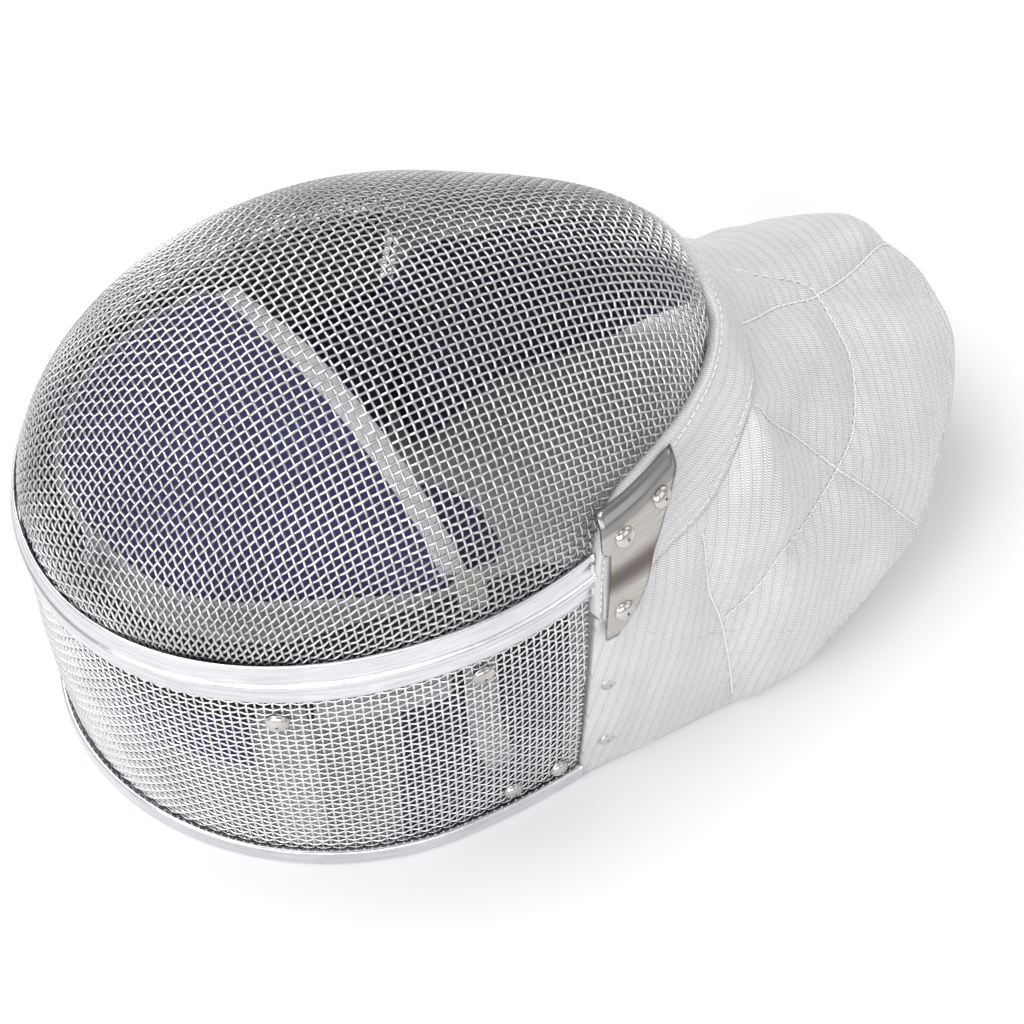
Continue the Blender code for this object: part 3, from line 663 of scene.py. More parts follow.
def lame(name, stripe_dark=0.5, tone=1.0):
    """Silvery cloth: thin dark stripes and fine wavy rows of metal thread across them. UV in millimetres."""
    n = Nodes(name)
    u, v = n.uv()
    wobble = n.times(n.math("SUBTRACT", n.noise(25.0, 2.0), 0.5), 1.6)
    su = n.math("ADD", u, wobble)
    phase = n.math("FRACT", n.math("DIVIDE", su, STRIPE_PERIOD))
    away = n.math("ABSOLUTE", n.math("SUBTRACT", phase, 0.5))
    line = n.smooth(away, 0.0, 0.085, 1.0, 0.0)
    half_phase = n.math("FRACT", n.math("DIVIDE", su, STRIPE_PERIOD / 2))
    saw = n.math("ABSOLUTE", n.math("SUBTRACT", half_phase, 0.5))
    fine_line = n.smooth(saw, 0.0, 0.14, 1.0, 0.0)
    row = n.math("FRACT", n.math("ADD", n.math("DIVIDE", v, WEAVE_ROWS), n.times(saw, 1.1)))
    tooth = n.math("ABSOLUTE", n.math("SUBTRACT", row, 0.5))
    ridge = n.smooth(tooth, 0.06, 0.36)
    grain = n.noise(1500.0, 2.0, 0.6)
    cloud = n.smooth(n.noise(30.0, 3.0), 0.3, 0.7)
    light = tuple(c * tone for c in (0.90, 0.888, 0.90))
    mid = tuple(c * tone for c in (0.29, 0.283, 0.297))
    dark = tuple(c * tone for c in (0.30, 0.29, 0.31))
    share = n.math("MULTIPLY_ADD", ridge, 0.62, n.math("MULTIPLY_ADD", grain, 0.3, 0.14))
    base = n.mix(share, mid, light)
    base = n.mix(n.times(cloud, 0.16), base, mid)
    base = n.mix(n.times(fine_line, stripe_dark * 0.35), base, dark)
    base = n.mix(n.times(line, stripe_dark), base, dark)
    low = n.bump(ridge, 0.6, 0.0003)
    normal = n.bump(n.math("SUBTRACT", 1.0, line), 0.35, 0.0003, low)
    return n.finish(base, n.smooth(grain, 0.2, 0.8, 0.36, 0.55), normal, 0.25, 0.25, 0.4)


# Chrome whose darker streaks are partly painted reflection.
CHROME = reflection_streaked_metal("chrome_steel", (0.78, 0.79, 0.81), (0.58, 0.59, 0.61), 0.08, 0.22)
WIRE = metal("tinned_wire", (0.60, 0.60, 0.60), (0.52, 0.52, 0.525), 0.16, 0.30, 1400.0, 0.25)
# The front and side wires are one tinned wire; the side copy's brighter colour is painted light on the side
# walls.
LIT_SIDE_WIRE = metal("tinned_side_wire_lit", (0.80, 0.80, 0.80), (0.70, 0.70, 0.705), 0.18, 0.34, 1400.0, 0.25)
NICKEL = metal("nickel_sheet", (0.62, 0.60, 0.575), (0.40, 0.38, 0.36), 0.10, 0.22, 900.0, 0.06)
PLATE = plate_metal("brushed_plate")
LAME = lame("lame_cloth")
BORDER = lame("lame_border", 0.4, 0.96)
BLUE = woven_cloth("blue_cloth", (0.056, 0.051, 0.175), (0.022, 0.020, 0.068), 1.1, sheen_tint=(0.55, 0.55, 1))
NAVY = woven_cloth(
    "navy_cloth", (0.030, 0.028, 0.075), (0.010, 0.009, 0.026), 1.2, sheen=0.2, sheen_tint=(0.5, 0.5, 0.9)
)
BLACK = woven_cloth("black_cloth", (0.014, 0.0135, 0.0145), (0.005, 0.005, 0.005), 1.2, sheen=0.15)
GREY = woven_cloth("grey_tape", (0.58, 0.58, 0.60), (0.34, 0.34, 0.36), 0.9, sheen=0.2)
BINDING = woven_cloth("binding_tape", (0.88, 0.88, 0.90), (0.66, 0.66, 0.68), 0.8, sheen=0.3)
CREAM = woven_cloth("cream_tape", (0.62, 0.60, 0.52), (0.42, 0.40, 0.34), 0.9, sheen=0.2)
THREAD = woven_cloth("stitch_thread", (0.95, 0.95, 0.96), (0.80, 0.80, 0.82), 0.5, rough=0.5, sheen=0.2)


# Woven wire
def step_chart(a, b, guess, pitch):
    """The chart points at one pitch from both a and b, by Newton's rule from the guesses."""
    pa = dome_chart(*a.T)
    pb = dome_chart(*b.T)
    q = guess.copy()
    e = 1e-5
    for _ in range(7):
        s = dome_chart(*q.T)
        sp = (dome_chart(q[:, 0] + e, q[:, 1]) - s) / e
        sq = (dome_chart(q[:, 0], q[:, 1] + e) - s) / e
        da = s - pa
        db = s - pb
        f = (da * da).sum(-1) - pitch**2
        g = (db * db).sum(-1) - pitch**2
        a11, a12 = 2 * (da * sp).sum(-1), 2 * (da * sq).sum(-1)
        a21, a22 = 2 * (db * sp).sum(-1), 2 * (db * sq).sum(-1)
        det = a11 * a22 - a12 * a21
        det = np.where(np.abs(det) < 1e-9, 1e-9, det)
        step = np.stack([(f * a22 - g * a12) / det, (g * a11 - f * a21) / det], -1)
        size = np.linalg.norm(step, axis=-1, keepdims=True)
        q = q - step * np.minimum(1, 0.03 / np.maximum(size, 1e-9))
    return q


def spine(direction, pitch, count):
    """Chart points a pitch apart from the peak, straight as seen from above, in degrees from +X."""
    rho = np.linspace(0, 1.25, 2501)
    aim = math.radians(direction)
    low = np.full_like(rho, aim - 1.0)
    high = np.full_like(rho, aim + 1.0)
    for _ in range(40):
        t = (low + high) / 2
        place = dome_chart(rho * np.cos(t), rho * np.sin(t))
        left = (place[:, 0] - EGG_X - DOME_PEAK_SHIFT) * math.sin(aim) - place[:, 1] * math.cos(aim)
        low = np.where(left > 0, t, low)
        high = np.where(left > 0, high, t)
    pts = np.stack([rho * np.cos(t), rho * np.sin(t)], -1)
    place = dome_chart(*pts.T)
    return sample(np.arange(count) * pitch * CHORD_TO_ARC, run_along(place), pts)


def quadrant(first, second, pitch):
    """A net of equal cells between two edge wires."""
    n, m = len(first), len(second)
    net = np.full((n, m, 2), np.nan)
    net[:, 0] = first
    net[0, :] = second
    for total in range(2, n + m - 1):
        i = np.arange(max(1, total - m + 1), min(n - 1, total - 1) + 1)
        j = total - i
        a = net[i - 1, j]
        b = net[i, j - 1]
        c = net[i - 1, j - 1]
        ok = ~np.isnan(a).any(-1) & ~np.isnan(b).any(-1) & ~np.isnan(c).any(-1)
        if not ok.any():
            continue
        i, j, a, b, c = i[ok], j[ok], a[ok], b[ok], c[ok]
        q = step_chart(a, b, a + b - c, pitch)
        place = dome_chart(*q.T)
        wrong = np.abs(np.linalg.norm(place - dome_chart(*a.T), axis=-1) - pitch) > 0.2
        wrong |= np.hypot(*q.T) > 1.18
        q[wrong] = np.nan
        net[i, j] = q
    return net


def front_net(pitch, count=70):
    """Crossing points of the whole front mesh: warp along X in the first index, weft across in the second."""
    chin = spine(NET_TURN, pitch, count)
    crown = spine(180 + NET_TURN, pitch, count)
    far = spine(90 + NET_TURN, pitch, count)
    near = spine(NET_TURN - 90, pitch, count)
    size = 2 * count - 1
    net = np.full((size, size, 2), np.nan)
    mid = count - 1
    for lengthways, sx in ((chin, 1), (crown, -1)):
        for across, sy in ((far, 1), (near, -1)):
            part = quadrant(lengthways, across, pitch)
            rows = mid + sx * np.arange(count)
            cols = mid + sy * np.arange(count)
            net[np.ix_(rows, cols)] = part
    return net


def wire(path, lift, radius, sides=6):
    """Rings round a wire that runs through path, with lift as the surface's normals."""
    d = unit(np.gradient(path, axis=0))
    side = unit(np.cross(lift, d))
    return rings_round(path, side, np.cross(d, side), radius, sides, 0.5)


def woven(points, lift, start, radius, crimp):
    """Rings of one wire over and under its crossings: one a quarter pitch before each and one after."""
    sign = np.where((np.arange(len(points)) + start) % 2 == 0, 1.0, -1.0)
    before = points.copy()
    after = points.copy()
    before[1:] = points[1:] * 0.76 + points[:-1] * 0.24
    after[:-1] = points[:-1] * 0.76 + points[1:] * 0.24
    offset = lift * (sign * crimp)[:, None]
    path = np.stack([before + offset, after + offset], 1).reshape(-1, 3)
    ups = np.repeat(lift, 2, axis=0)
    return wire(path, ups, radius)


def woven_piece(name, lines, radius, crimp, material):
    """One piece of all wires that run one way. lines holds (points, normals, phase) for each."""
    parts = []
    for points, lift, start in lines:
        if len(points) < 3:
            continue
        rings = woven(points, lift, start, radius, crimp)
        quads = grid_faces(len(rings), 6, wrap=True, flip=True)
        ends = []
        for base, flip in ((0, False), ((len(rings) - 1) * 6, True)):
            cap = np.array([(base, base + 1, base + 4, base + 5), (base + 1, base + 2, base + 3, base + 4)])
            ends.append(cap[:, ::-1] if flip else cap)
        parts.append((rings, np.concatenate([quads] + ends)))
    points, quads = merge(parts)
    return build(name, points, quads, material)


net = front_net(FRONT_PITCH)
place = dome_chart(net[..., 0], net[..., 1])
rho = np.hypot(net[..., 0], net[..., 1])
e = 1e-3
sp = dome_chart(net[..., 0] + e, net[..., 1]) - dome_chart(net[..., 0] - e, net[..., 1])
sq = dome_chart(net[..., 0], net[..., 1] + e) - dome_chart(net[..., 0], net[..., 1] - e)
lift = unit(np.cross(sp, sq))
place = place - lift * MESH_THICK / 2
inside = rho < NET_RIM


def front_lines(axis):
    """The front mesh's wires that run along this axis of the net, each as (points, normals, phase)."""
    lines = []
    grid, ups, mask = (table.swapaxes(0, axis) for table in (place, lift, inside))
    for k in range(grid.shape[1]):
        column = mask[:, k]
        if not column.any():
            continue
        rows = np.flatnonzero(column)
        middle = (rows[0] + rows[-1]) // 2
        lo = hi = rows[np.argmin(np.abs(rows - middle))]
        while lo - 1 >= 0 and column[lo - 1]:
            lo -= 1
        while hi + 1 < len(column) and column[hi + 1]:
            hi += 1
        lines.append((grid[lo : hi + 1, k], ups[lo : hi + 1, k], lo + k + axis))
    return lines


front_warp = woven_piece("front_mesh_warp", front_lines(0), WIRE_RADIUS, WIRE_CRIMP, WIRE)
front_weft = woven_piece("front_mesh_weft", front_lines(1), WIRE_RADIUS, WIRE_CRIMP, WIRE)
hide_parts("front_mesh")
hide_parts("front_mesh")

# Side mesh: wires round the crown, and wires from the hoop to the band
around = int(round((HOOP_LENGTH + EGG_LENGTH) / 2 / SIDE_PITCH))
heights = SIDE_FIRST_Z + (np.arange(SIDE_ROWS) + 0.5) * (RIM_Z - SIDE_FIRST_Z - SIDE_LAST_GAP) / SIDE_ROWS
shares = heights / RIM_Z
upright = (np.arange(-2, around + 2) + 0.5) / around
lean = upright[:, None] + SIDE_SLANT * (shares[None, :] - 0.5)
on_wall = (lean > SIDE_MARGIN * 2) & (lean < 1 - SIDE_MARGIN * 2)


def wall_wire(run, tall):
    """Points of a side wire, with the surface's normals."""
    points = wall(run, tall, -MESH_THICK / 2)
    return points, unit(wall(run, tall, 1.0) - wall(run, tall, 0.0))


long_lines = []
for k in range(SIDE_ROWS):
    inside_k = lean[on_wall[:, k], k]
    run = np.concatenate([[SIDE_MARGIN], inside_k, [1 - SIDE_MARGIN]])
    long_lines.append((*wall_wire(run, np.full(len(run), shares[k])), k + int(np.argmax(on_wall[:, k])) + 1))
tall_lines = []
for i in range(len(upright)):
    rows_i = np.flatnonzero(on_wall[i])
    if len(rows_i) > 2:
        tall_lines.append((*wall_wire(lean[i, rows_i], shares[rows_i]), i + int(rows_i[0]) + 1))
side_warp = woven_piece("side_mesh_warp", long_lines, WIRE_RADIUS, SIDE_LONG_CRIMP, LIT_SIDE_WIRE)
side_weft = woven_piece("side_mesh_weft", tall_lines, SIDE_TALL_RADIUS, SIDE_TALL_CRIMP, LIT_SIDE_WIRE)
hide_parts("side_mesh")
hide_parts("side_mesh")


# Chromed band and hoop
def rounded(profile, radius, steps=3):
    """The closed outline with each corner rounded, as a list of points."""
    pts = np.asarray(profile, float)
    out = []
    for a, b, c in zip(np.roll(pts, 1, 0), pts, np.roll(pts, -1, 0)):
        la = np.linalg.norm(a - b)
        lc = np.linalg.norm(c - b)
        r = min(radius, la * 0.45, lc * 0.45)
        p = b + (a - b) / la * r
        q = b + (c - b) / lc * r
        for w in np.linspace(0, 1, steps):
            out.append((1 - w) ** 2 * p + 2 * w * (1 - w) * b + w * w * q)
    return np.array(out)


BAND_PROFILE = rounded(
    (
        (0.0, 0.6), (0.0, 19.6), (0.8, 20.0), (1.35, 18.6), (1.2, 14.0), (1.3, 12.9), (2.5, 11.9), (2.5, 9.9),
        (1.3, 8.9), (1.15, 5.0), (1.6, 1.4), (0.9, 0.0),
    ),
    0.7,
)
stations = np.linspace(0, 1, 261)


def strip(name, node, rings, length, pace):
    """A strip lofted through its rings, with its UV along and across in millimetres."""
    rings = np.stack(rings, 1)
    along = stations[:, None] * length
    across = np.arange(rings.shape[1])[None, :] * pace
    piece = loft(name, rings, CHROME, uv=np.stack(np.broadcast_arrays(along, across), -1))
    dress(piece, node)


top = rising(EGG_AT(stations)[0])
rings = [wall(stations, 1 - drop / top, GAP + off) for off, drop in BAND_PROFILE]
strip("chrome_band", "dividing_band", rings, EGG_LENGTH, 1.4)

HOOP_PROFILE = rounded(
    (
        (0.0, 0.5), (0.0, 7.4), (0.7, 8.0), (1.7, 8.0), (2.35, 7.2), (2.45, 4.0), (2.3, 0.7), (1.7, 0.0),
        (0.6, 0.0),
    ),
    0.5,
)
rings = []
for off, z in HOOP_PROFILE[: len(HOOP_PROFILE) // 2 * 2]:
    level = wall(stations, 8.0 / RIM_Z, GAP + off)
    level[:, 2] = z
    rings.append(level)
strip("chrome_hoop", "rear_hoop", rings, HOOP_LENGTH, 1.1)


# Quilted bib
def seam_path(seam):
    """Points 1 mm apart along a seam."""
    fine = resample(seam, 160)
    pts = arch(fine[:, 0], np.radians(fine[:, 1]))
    run = run_along(pts)
    return sample(np.arange(0, run[-1]), run, pts)


SEAMS = [SEAM_LENGTHWAYS, SEAM_LOOP, SEAM_NEAR, SEAM_SIDE, tuple((x, -a) for x, a in SEAM_SIDE)]
seam_paths = [seam_path(s) for s in SEAMS]
seam_all = np.concatenate(seam_paths).astype(np.float32)
seam_run = np.concatenate([np.arange(len(p)) + 1000.0 * k for k, p in enumerate(seam_paths)])


def nearest_seam(points):
    flat = points.reshape(-1, 3).astype(np.float32)
    best = np.empty(len(flat))
    which = np.empty(len(flat), int)
    for start in range(0, len(flat), 4000):
        block = flat[start : start + 4000]
        gap = np.linalg.norm(block[:, None] - seam_all[None], axis=-1)
        which[start : start + 4000] = gap.argmin(1)
        best[start : start + 4000] = gap.min(1)
    return best.reshape(points.shape[:-1]), seam_run[which].reshape(points.shape[:-1])


def outward(grid):
    """The normals of a grid of points, turned away from the bib's inside."""
    n = normals(grid)
    m = grid.shape[0] // 2, grid.shape[1] // 2
    return n if (n[m] * (grid[m] - BIB_MIDDLE)).sum() > 0 else -n


T = even_shares(0, 2, 441)
half = floor_share(T)
span = np.linspace(0, 1, 121)
start = (BORDER_SHARE(half) + 0.003) * np.clip((half - 0.2985) / 0.003, 0, 1)
share = start[:, None] + (1 - start[:, None]) * span[None, :]
face = bib_base(share, T[:, None])
out = outward(face)
length = np.linalg.norm(np.diff(face, axis=1), axis=-1).sum(1)[:, None]
full = length / (1 - start[:, None])
below_border = np.maximum(BORDER_END - half, 0)[:, None] * HALF_RUN
past_border = np.maximum(share - BORDER_SHARE(half)[:, None] - 0.003, 0) * full
from_top = np.minimum(np.hypot(past_border, below_border), share * full)
from_hem = (1 - span[None, :]) * length
from_floor = half[:, None] * HALF_RUN
hem_gap = np.abs(from_hem - HEM_SEAM)
seam_gap, along = nearest_seam(face)
past_hem = np.maximum(from_hem - HEM_SEAM, 0.0)
gap = np.minimum(np.minimum(seam_gap, past_hem), np.minimum(from_top, from_floor) + 0.5)
puff = QUILT_PUFF * (1 - np.exp(-((gap / QUILT_REACH) ** 1.5)))
puff -= SEAM_DIP * np.exp(-((seam_gap / 1.3) ** 2)) + HEM_DIP * np.exp(-((hem_gap / 1.2) ** 2))
puckers = np.sin(along * 0.85 + 2.5 * np.sin(along * 0.13))
puckers *= np.exp(-((seam_gap / 6.0) ** 2)) * (1 - np.exp(-((seam_gap / 1.4) ** 2)))
run_hem = run_along(face[:, -1])[:, None]
hem_pucker = np.sin(run_hem * 0.6 + 2 * np.sin(run_hem * 0.07))
hem_pucker = hem_pucker * np.exp(-((past_hem / 7.0) ** 2)) * (past_hem > 0)
plain = bib_base(span[None, :], T[:, None])
arc = run_along(plain)
arc -= arc[len(T) // 2][None, :]
arc = np.stack([np.interp(share[k], span, arc[k]) for k in range(len(T))])
stripe = face[..., 0] - 0.25 * face[..., 2]
folds = bumps(np.stack([stripe * 2.0, arc * 0.45, 0 * arc], -1), 26.0, 6.3)
soft = bumps(face, 26.0, 3.1) * 1.3 + bumps(face, 11.0, 8.7) * 0.4 + folds * 1.2
quiet = 1 - np.exp(-((gap / 5.0) ** 2))
puff += puckers * 0.35 + hem_pucker * 0.3 + soft * quiet
bib_top = face + out * puff[..., None]
bib_low = face - out * BIB_THICK
keep_above(bib_top, CLOTH_CLEAR)
keep_above(bib_low, CLOTH_CLEAR)
uv = np.stack([stripe, arc], -1)
cloth_sheet("bib_quilted", "bib", (bib_top, bib_low), LAME, uv)

# Border over the mesh edge
TB = even_shares(BORDER_END, 2 - BORDER_END, 321)
halfb = floor_share(TB)
across = np.linspace(0, 1, 25)
startb = BORDER_SHARE(halfb)
shareb = startb[:, None] * across[None, :] * 0.992
faceb = bib_base(shareb, TB[:, None])
outb = outward(faceb)
widthb = np.linalg.norm(np.diff(faceb, axis=1), axis=-1).sum(1)[:, None]
in_a = across[None, :] * widthb
in_b = (1 - across[None, :]) * widthb
edge = np.minimum(in_a, in_b)
lift_b = 0.5 + 0.7 * (1 - np.exp(-((edge / 3.0) ** 2))) - 0.5 * np.exp(-(((edge - 2.2) / 0.8) ** 2))
lift_b += bumps(faceb, 18.0, 5.5) * 0.35
top_b = faceb + outb * lift_b[..., None]
low_b = faceb - outb * 1.2
along_b = unit(faceb[:, 1] - faceb[:, 0])
for step_in, step_down in ((0.5, 0.2), (1.0, 0.9), (1.35, 2.2), (1.5, 4.2)):
    lip = faceb[:, 0] - along_b * step_in - outb[:, 0] * step_down
    top_b = np.concatenate([lip[:, None], top_b], 1)
    low_b = np.concatenate([(lip - outb[:, 0] * 0.5 + along_b * 0.9)[:, None], low_b], 1)
arcb = run_along(faceb)
uvb = np.stack([in_a + 0 * arcb, arcb], -1)
uvb = np.concatenate([np.repeat(uvb[:, :1], 4, axis=1), uvb], 1)
cloth_sheet("bib_border_cloth", "bib_border", (top_b, low_b), BORDER, uvb)

# Lining, with the far side's padding swelling inwards near the mesh
TL = even_shares(0.04, 1.96, 141)
halfl = floor_share(TL)
low_down = np.clip((0.42 - halfl) / 0.12, 0, 1)
startl = BORDER_SHARE(halfl) + 0.03 - 0.06 * low_down * (TL > 1)
downl = np.linspace(0, 1, 61)[None, :]
sharel = startl[:, None] + (0.94 - startl[:, None]) * downl
facel = bib_base(sharel, TL[:, None])
outl = outward(facel)
topl = facel - outl * (BIB_THICK + 2.0)
on_far = (TL > 1) * ease(low_down)
swell_l = (LINING_SWELL * np.exp(-((downl / 0.38) ** 2)) + 3.0) * (1 - np.exp(-(((1 - downl) / 0.1) ** 2)))
swell_l = on_far[:, None] * swell_l
lowl = topl - outl * (1.4 + bumps(facel, 20.0, 1.5)[..., None] * 1.0 + swell_l[..., None])
keep_above(topl, LINING_CLEAR)
keep_above(lowl, LINING_CLEAR)
cloth_sheet("bib_lining_cloth", "bib_lining", (topl, lowl), NAVY)


# Stitches
def bib_lift(points):
    """Normals of the bib near each point."""
    ang = np.sign(points[:, 1]) * angle_of(points[:, 0], np.clip(points[:, 2], 0.1, None))
    dx = arch(points[:, 0] + 0.5, ang) - arch(points[:, 0] - 0.5, ang)
    da = arch(points[:, 0], ang + 0.01) - arch(points[:, 0], ang - 0.01)
    n = unit(np.cross(da, dx))
    flip = (n * (points - BIB_MIDDLE)).sum(-1) < 0
    n[flip] *= -1
    return n


def stitches(name, paths, lifts, radius, length, skip, height=0.0):
    """Short raised threads along each path."""
    parts = []
    for path, ups in zip(paths, lifts):
        run = run_along(path)
        for at in np.arange(0.3, run[-1] - length, length + skip):
            ts = at + length * np.array([0.0, 0.18, 0.5, 0.82, 1.0])
            p = sample(ts, run, path)
            n = unit(sample(ts, run, ups))
            p = p + n * (height + radius * np.array([-0.9, 0.3, 0.6, 0.3, -0.9]))[:, None]
            rings = wire(p, n, radius, 5)
            parts.append((rings, grid_faces(5, 5, wrap=True, flip=True)))
    points, quads = merge(parts)
    return build(name, points, quads, THREAD)


hem_col = int(np.argmin(np.abs(from_hem[len(T) // 2] - HEM_SEAM)))


def on_cloth(path):
    """The points of a path that lie over the bib, short of its hem seam."""
    cloth = face[:, :hem_col].reshape(-1, 3)
    return path[[np.linalg.norm(cloth - p, axis=1).min() < 2.5 for p in path]]


seam_paths = [on_cloth(p) for p in seam_paths]
seam_lifts = [bib_lift(p) for p in seam_paths]
hem_path = bib_top[3:-3, hem_col]
hem_lift = out[3:-3, hem_col]
seam_stitch = stitches("seam_stitches", seam_paths, seam_lifts, 0.38, 2.8, 0.45, -0.2)
hem_stitch = stitches("hem_stitches", [hem_path], [hem_lift], 0.32, 2.4, 0.8)
rows = [int(np.argmin(np.abs(in_a[150] - 2.2))), int(np.argmin(np.abs(in_b[150] - 2.2)))]
border_paths = [top_b[2:-2, r + 4] for r in rows]
border_lifts = [outb[2:-2, r] for r in rows]
border_stitch = stitches("border_stitches", border_paths, border_lifts, 0.32, 2.4, 0.8)


# Plates and rivets
def on_arch(x, z, off, side):
    """The point of the bib's face at x and height z, moved out by off, and the normal there."""
    x = np.asarray(x, float)
    z = np.asarray(z, float)
    p = arch(x, side * angle_of(x, z))
    tx = arch(x + 0.5, side * angle_of(x + 0.5, z)) - p
    tz = arch(x, side * angle_of(x, z + 0.5)) - p
    n = unit(np.cross(tx, tz))
    n = np.where(n[..., 1:2] * side < 0, -n, n)
    return p + n * off, n


def plate(name, side):
    """A flat plate over the band's end, with its upper edge bent in over the dome."""
    zs = np.concatenate([np.linspace(87.5, 127.0, 22), np.linspace(127.5, 137.0, 8)])
    zs = zs[:, None]
    xa = np.interp(zs, [r[0] for r in PLATE_ROWS], [r[1] for r in PLATE_ROWS])
    xb = np.interp(zs, [r[0] for r in PLATE_ROWS], [r[2] for r in PLATE_ROWS])
    w = np.linspace(0, 1, 15)[None, :]
    x = xa + (xb - xa) * w
    p, n = on_arch(x, np.broadcast_to(zs, x.shape), PLATE_LIFT, side)
    inner = list(p)
    outer = list(p + n * PLATE_THICK)
    last_in = p[-1]
    last_out = (p + n * PLATE_THICK)[-1]
    inward = np.array([0.0, -side, 0.0])
    for a, b in ((0.1, 2.0), (0.5, 3.6), (1.5, 5.0), (3.2, 6.4), (6.0, 8.0)):
        outer.append(last_out + inward * a + RISE * b)
        inner.append(last_in + inward * a * 0.92 + RISE * (b - 1.1))
    return closed_sheet(name, np.array(outer), np.array(inner), PLATE)


def rivet(name, node, base, n, radius, height):
    """A domed rivet head on this point, along this normal."""
    n = np.asarray(n, float) / np.linalg.norm(n)
    a = unit(np.cross(n, RISE))
    b = np.cross(n, a)
    w = np.arange(RIVET_SIDES) * math.tau / RIVET_SIDES
    circle = np.cos(w)[:, None] * a + np.sin(w)[:, None] * b
    rings = [base + n * (level * height) + radius * share * circle for share, level in RIVET_PROFILE]
    dress(loft(name, rings, NICKEL), node)


for tag, side in (("near", -1), ("far", 1)):
    piece = plate(f"corner_plate_{tag}", side)
    dress(piece, f"side_plate_{tag}")
    for k, (x, z) in enumerate(((27.0, 133.6), (10.0, 131.4), (8.0, 98.5))):
        p, n = on_arch(x, z, PLATE_LIFT + PLATE_THICK + 0.1, side)
        rivet(f"plate_stud_{tag}_{k + 1}", f"plate_rivet_{tag}_{k + 1}", p, n, 4.2, 2.0)
    for k, (x, z) in enumerate(((2.5, 58.0), (2.0, 21.0))):
        p, n = on_arch(x, z, 1.3, side)
        rivet(f"cloth_stud_{tag}_{k + 1}", f"cloth_rivet_{tag}_{k + 1}", p, n, 3.1, 0.8)
    for k, (u, z) in enumerate(((0.264, 95.0), (0.102, 98.0), (0.068, 15.0), (0.022, 13.0))):
        uu = u if side < 0 else 1 - u
        p = wall(uu, z / RIM_Z, GAP + 0.1)
        q = wall(uu, z / RIM_Z, GAP + 1.1)
        rivet(f"mesh_stud_{tag}_{k + 1}", f"mesh_rivet_{tag}_{k + 1}", p, q - p, 4.2 if k < 2 else 3.6, 1.9)


# Padding
def wall_pad(name, node, u_range, z_range, thick, material, size, ends=0.0, tip=0.0):
    """A pad on the inside of the side mesh. ends thickens it towards the cheeks, and tip at its far end."""
    us = np.linspace(*u_range, size[0])
    zs = np.linspace(*z_range, size[1])
    top = rising(EGG_AT(us)[0])
    v = zs[None, :] / top[:, None]
    body = bulge(np.linspace(-1, 1, size[0])[:, None], 14) * bulge(np.linspace(-1, 1, size[1])[None, :], 8)
    cheek = np.clip((np.abs(us - 0.5) - 0.22) / 0.10, 0, 1)[:, None]
    tail = np.clip((us - 0.90) / 0.08, 0, 1)[:, None]
    t = (thick + ends * ease(cheek)) * (0.12 + 0.88 * body) + tip * ease(tail)
    outer = wall(us[:, None], v, -MESH_THICK - PAD_GAP)
    inner = wall(us[:, None], v, -MESH_THICK - PAD_GAP - t)
    inner = inner + unit(outer - inner) * (bumps(inner, 22.0, 4.2) * 0.8)[..., None]
    piece = closed_sheet(name, outer, inner, material)
    dress(piece, node)


wall_pad(
    "lining_strip_pad", "black_lining_strip", (0.015, 0.985), (88.0, 120.8), 11.5, BLACK, (181, 17),
    ends=5.0,
)
wall_pad("side_padding_near", "side_pad_near", (0.012, 0.165), (3.0, 87.7), 14.0, NAVY, (49, 33))
wall_pad("side_padding_far", "side_pad_far", (0.691, 0.996), (3.0, 87.7), 14.0, NAVY, (75, 33), tip=15.0)
wall_pad(
    "crown_wall_padding", "crown_wall_pad", (0.288, 0.685), (58.0, 87.7), 12.0, BLUE, (97, 15)
)


def wall_tape(name, node, path, width, mirror):
    """A flat tape along a path on the inside of the side mesh."""
    rows = resample(np.array([(u * WALL_RUN, z) for u, z in path]), 41)
    d = unit(np.gradient(rows, axis=0))
    side = np.stack([-d[:, 1], d[:, 0]], -1)
    outer = []
    inner = []
    for w in np.linspace(-0.5, 0.5, 9):
        at = rows + side * w * width
        u = at[:, 0] / WALL_RUN
        u = 1 - u if mirror else u
        v = at[:, 1] / rising(EGG_AT(u)[0])
        thin = 0.25 if abs(w) > 0.45 else 0.0
        outer.append(wall(u, v, -MESH_THICK - 0.7 - thin))
        inner.append(wall(u, v, -MESH_THICK - 1.8 + thin))
    piece = closed_sheet(name, np.array(outer), np.array(inner), GREY)
    dress(piece, node)


TAPES = (
    (((0.262, 99.0), (0.254, 60.0), (0.25, 4.0)), 14.0),
    (((0.236, 96.0), (0.18, 96.0), (0.126, 96.0)), 12.0),
    (((0.101, 119.0), (0.10, 90.0), (0.094, 60.0), (0.078, 34.0)), 10.0),
)
for tag, mirror in (("near", False), ("far", True)):
    for k, (path, width) in enumerate(TAPES):
        wall_tape(f"sewn_tape_{tag}_{k + 1}", f"strap_tape_{tag}_{k + 1}", path, width, mirror)

# Crown pad
count = 73
arc_edge = resample(PAD_ARC, count)
chord_edge = resample(PAD_CHORD, count)
Q = np.linspace(0, 1, 41)
body = between(arc_edge, chord_edge, Q)
swell = bulge(np.linspace(-1, 1, count)[:, None], 8) * bulge(2 * Q[None, :] - 1, 8)
top = body + RISE * (0.8 + 4.0 * swell + 0.5 * bumps(body, 24.0, 2.2))[..., None]
low = body - RISE * (0.8 + 3.8 * swell)[..., None]
cushion = closed_sheet("crown_cushion", top, low, BLUE)
dress(cushion, "crown_pad")


def sideways(path, towards):
    """Level normals of a path, on the side of this point."""
    d = np.gradient(path, axis=0)
    n = unit(np.cross(d, RISE))
    middle = path[len(path) // 2]
    return n if n[len(path) // 2] @ (np.asarray(towards) - middle) > 0 else -n


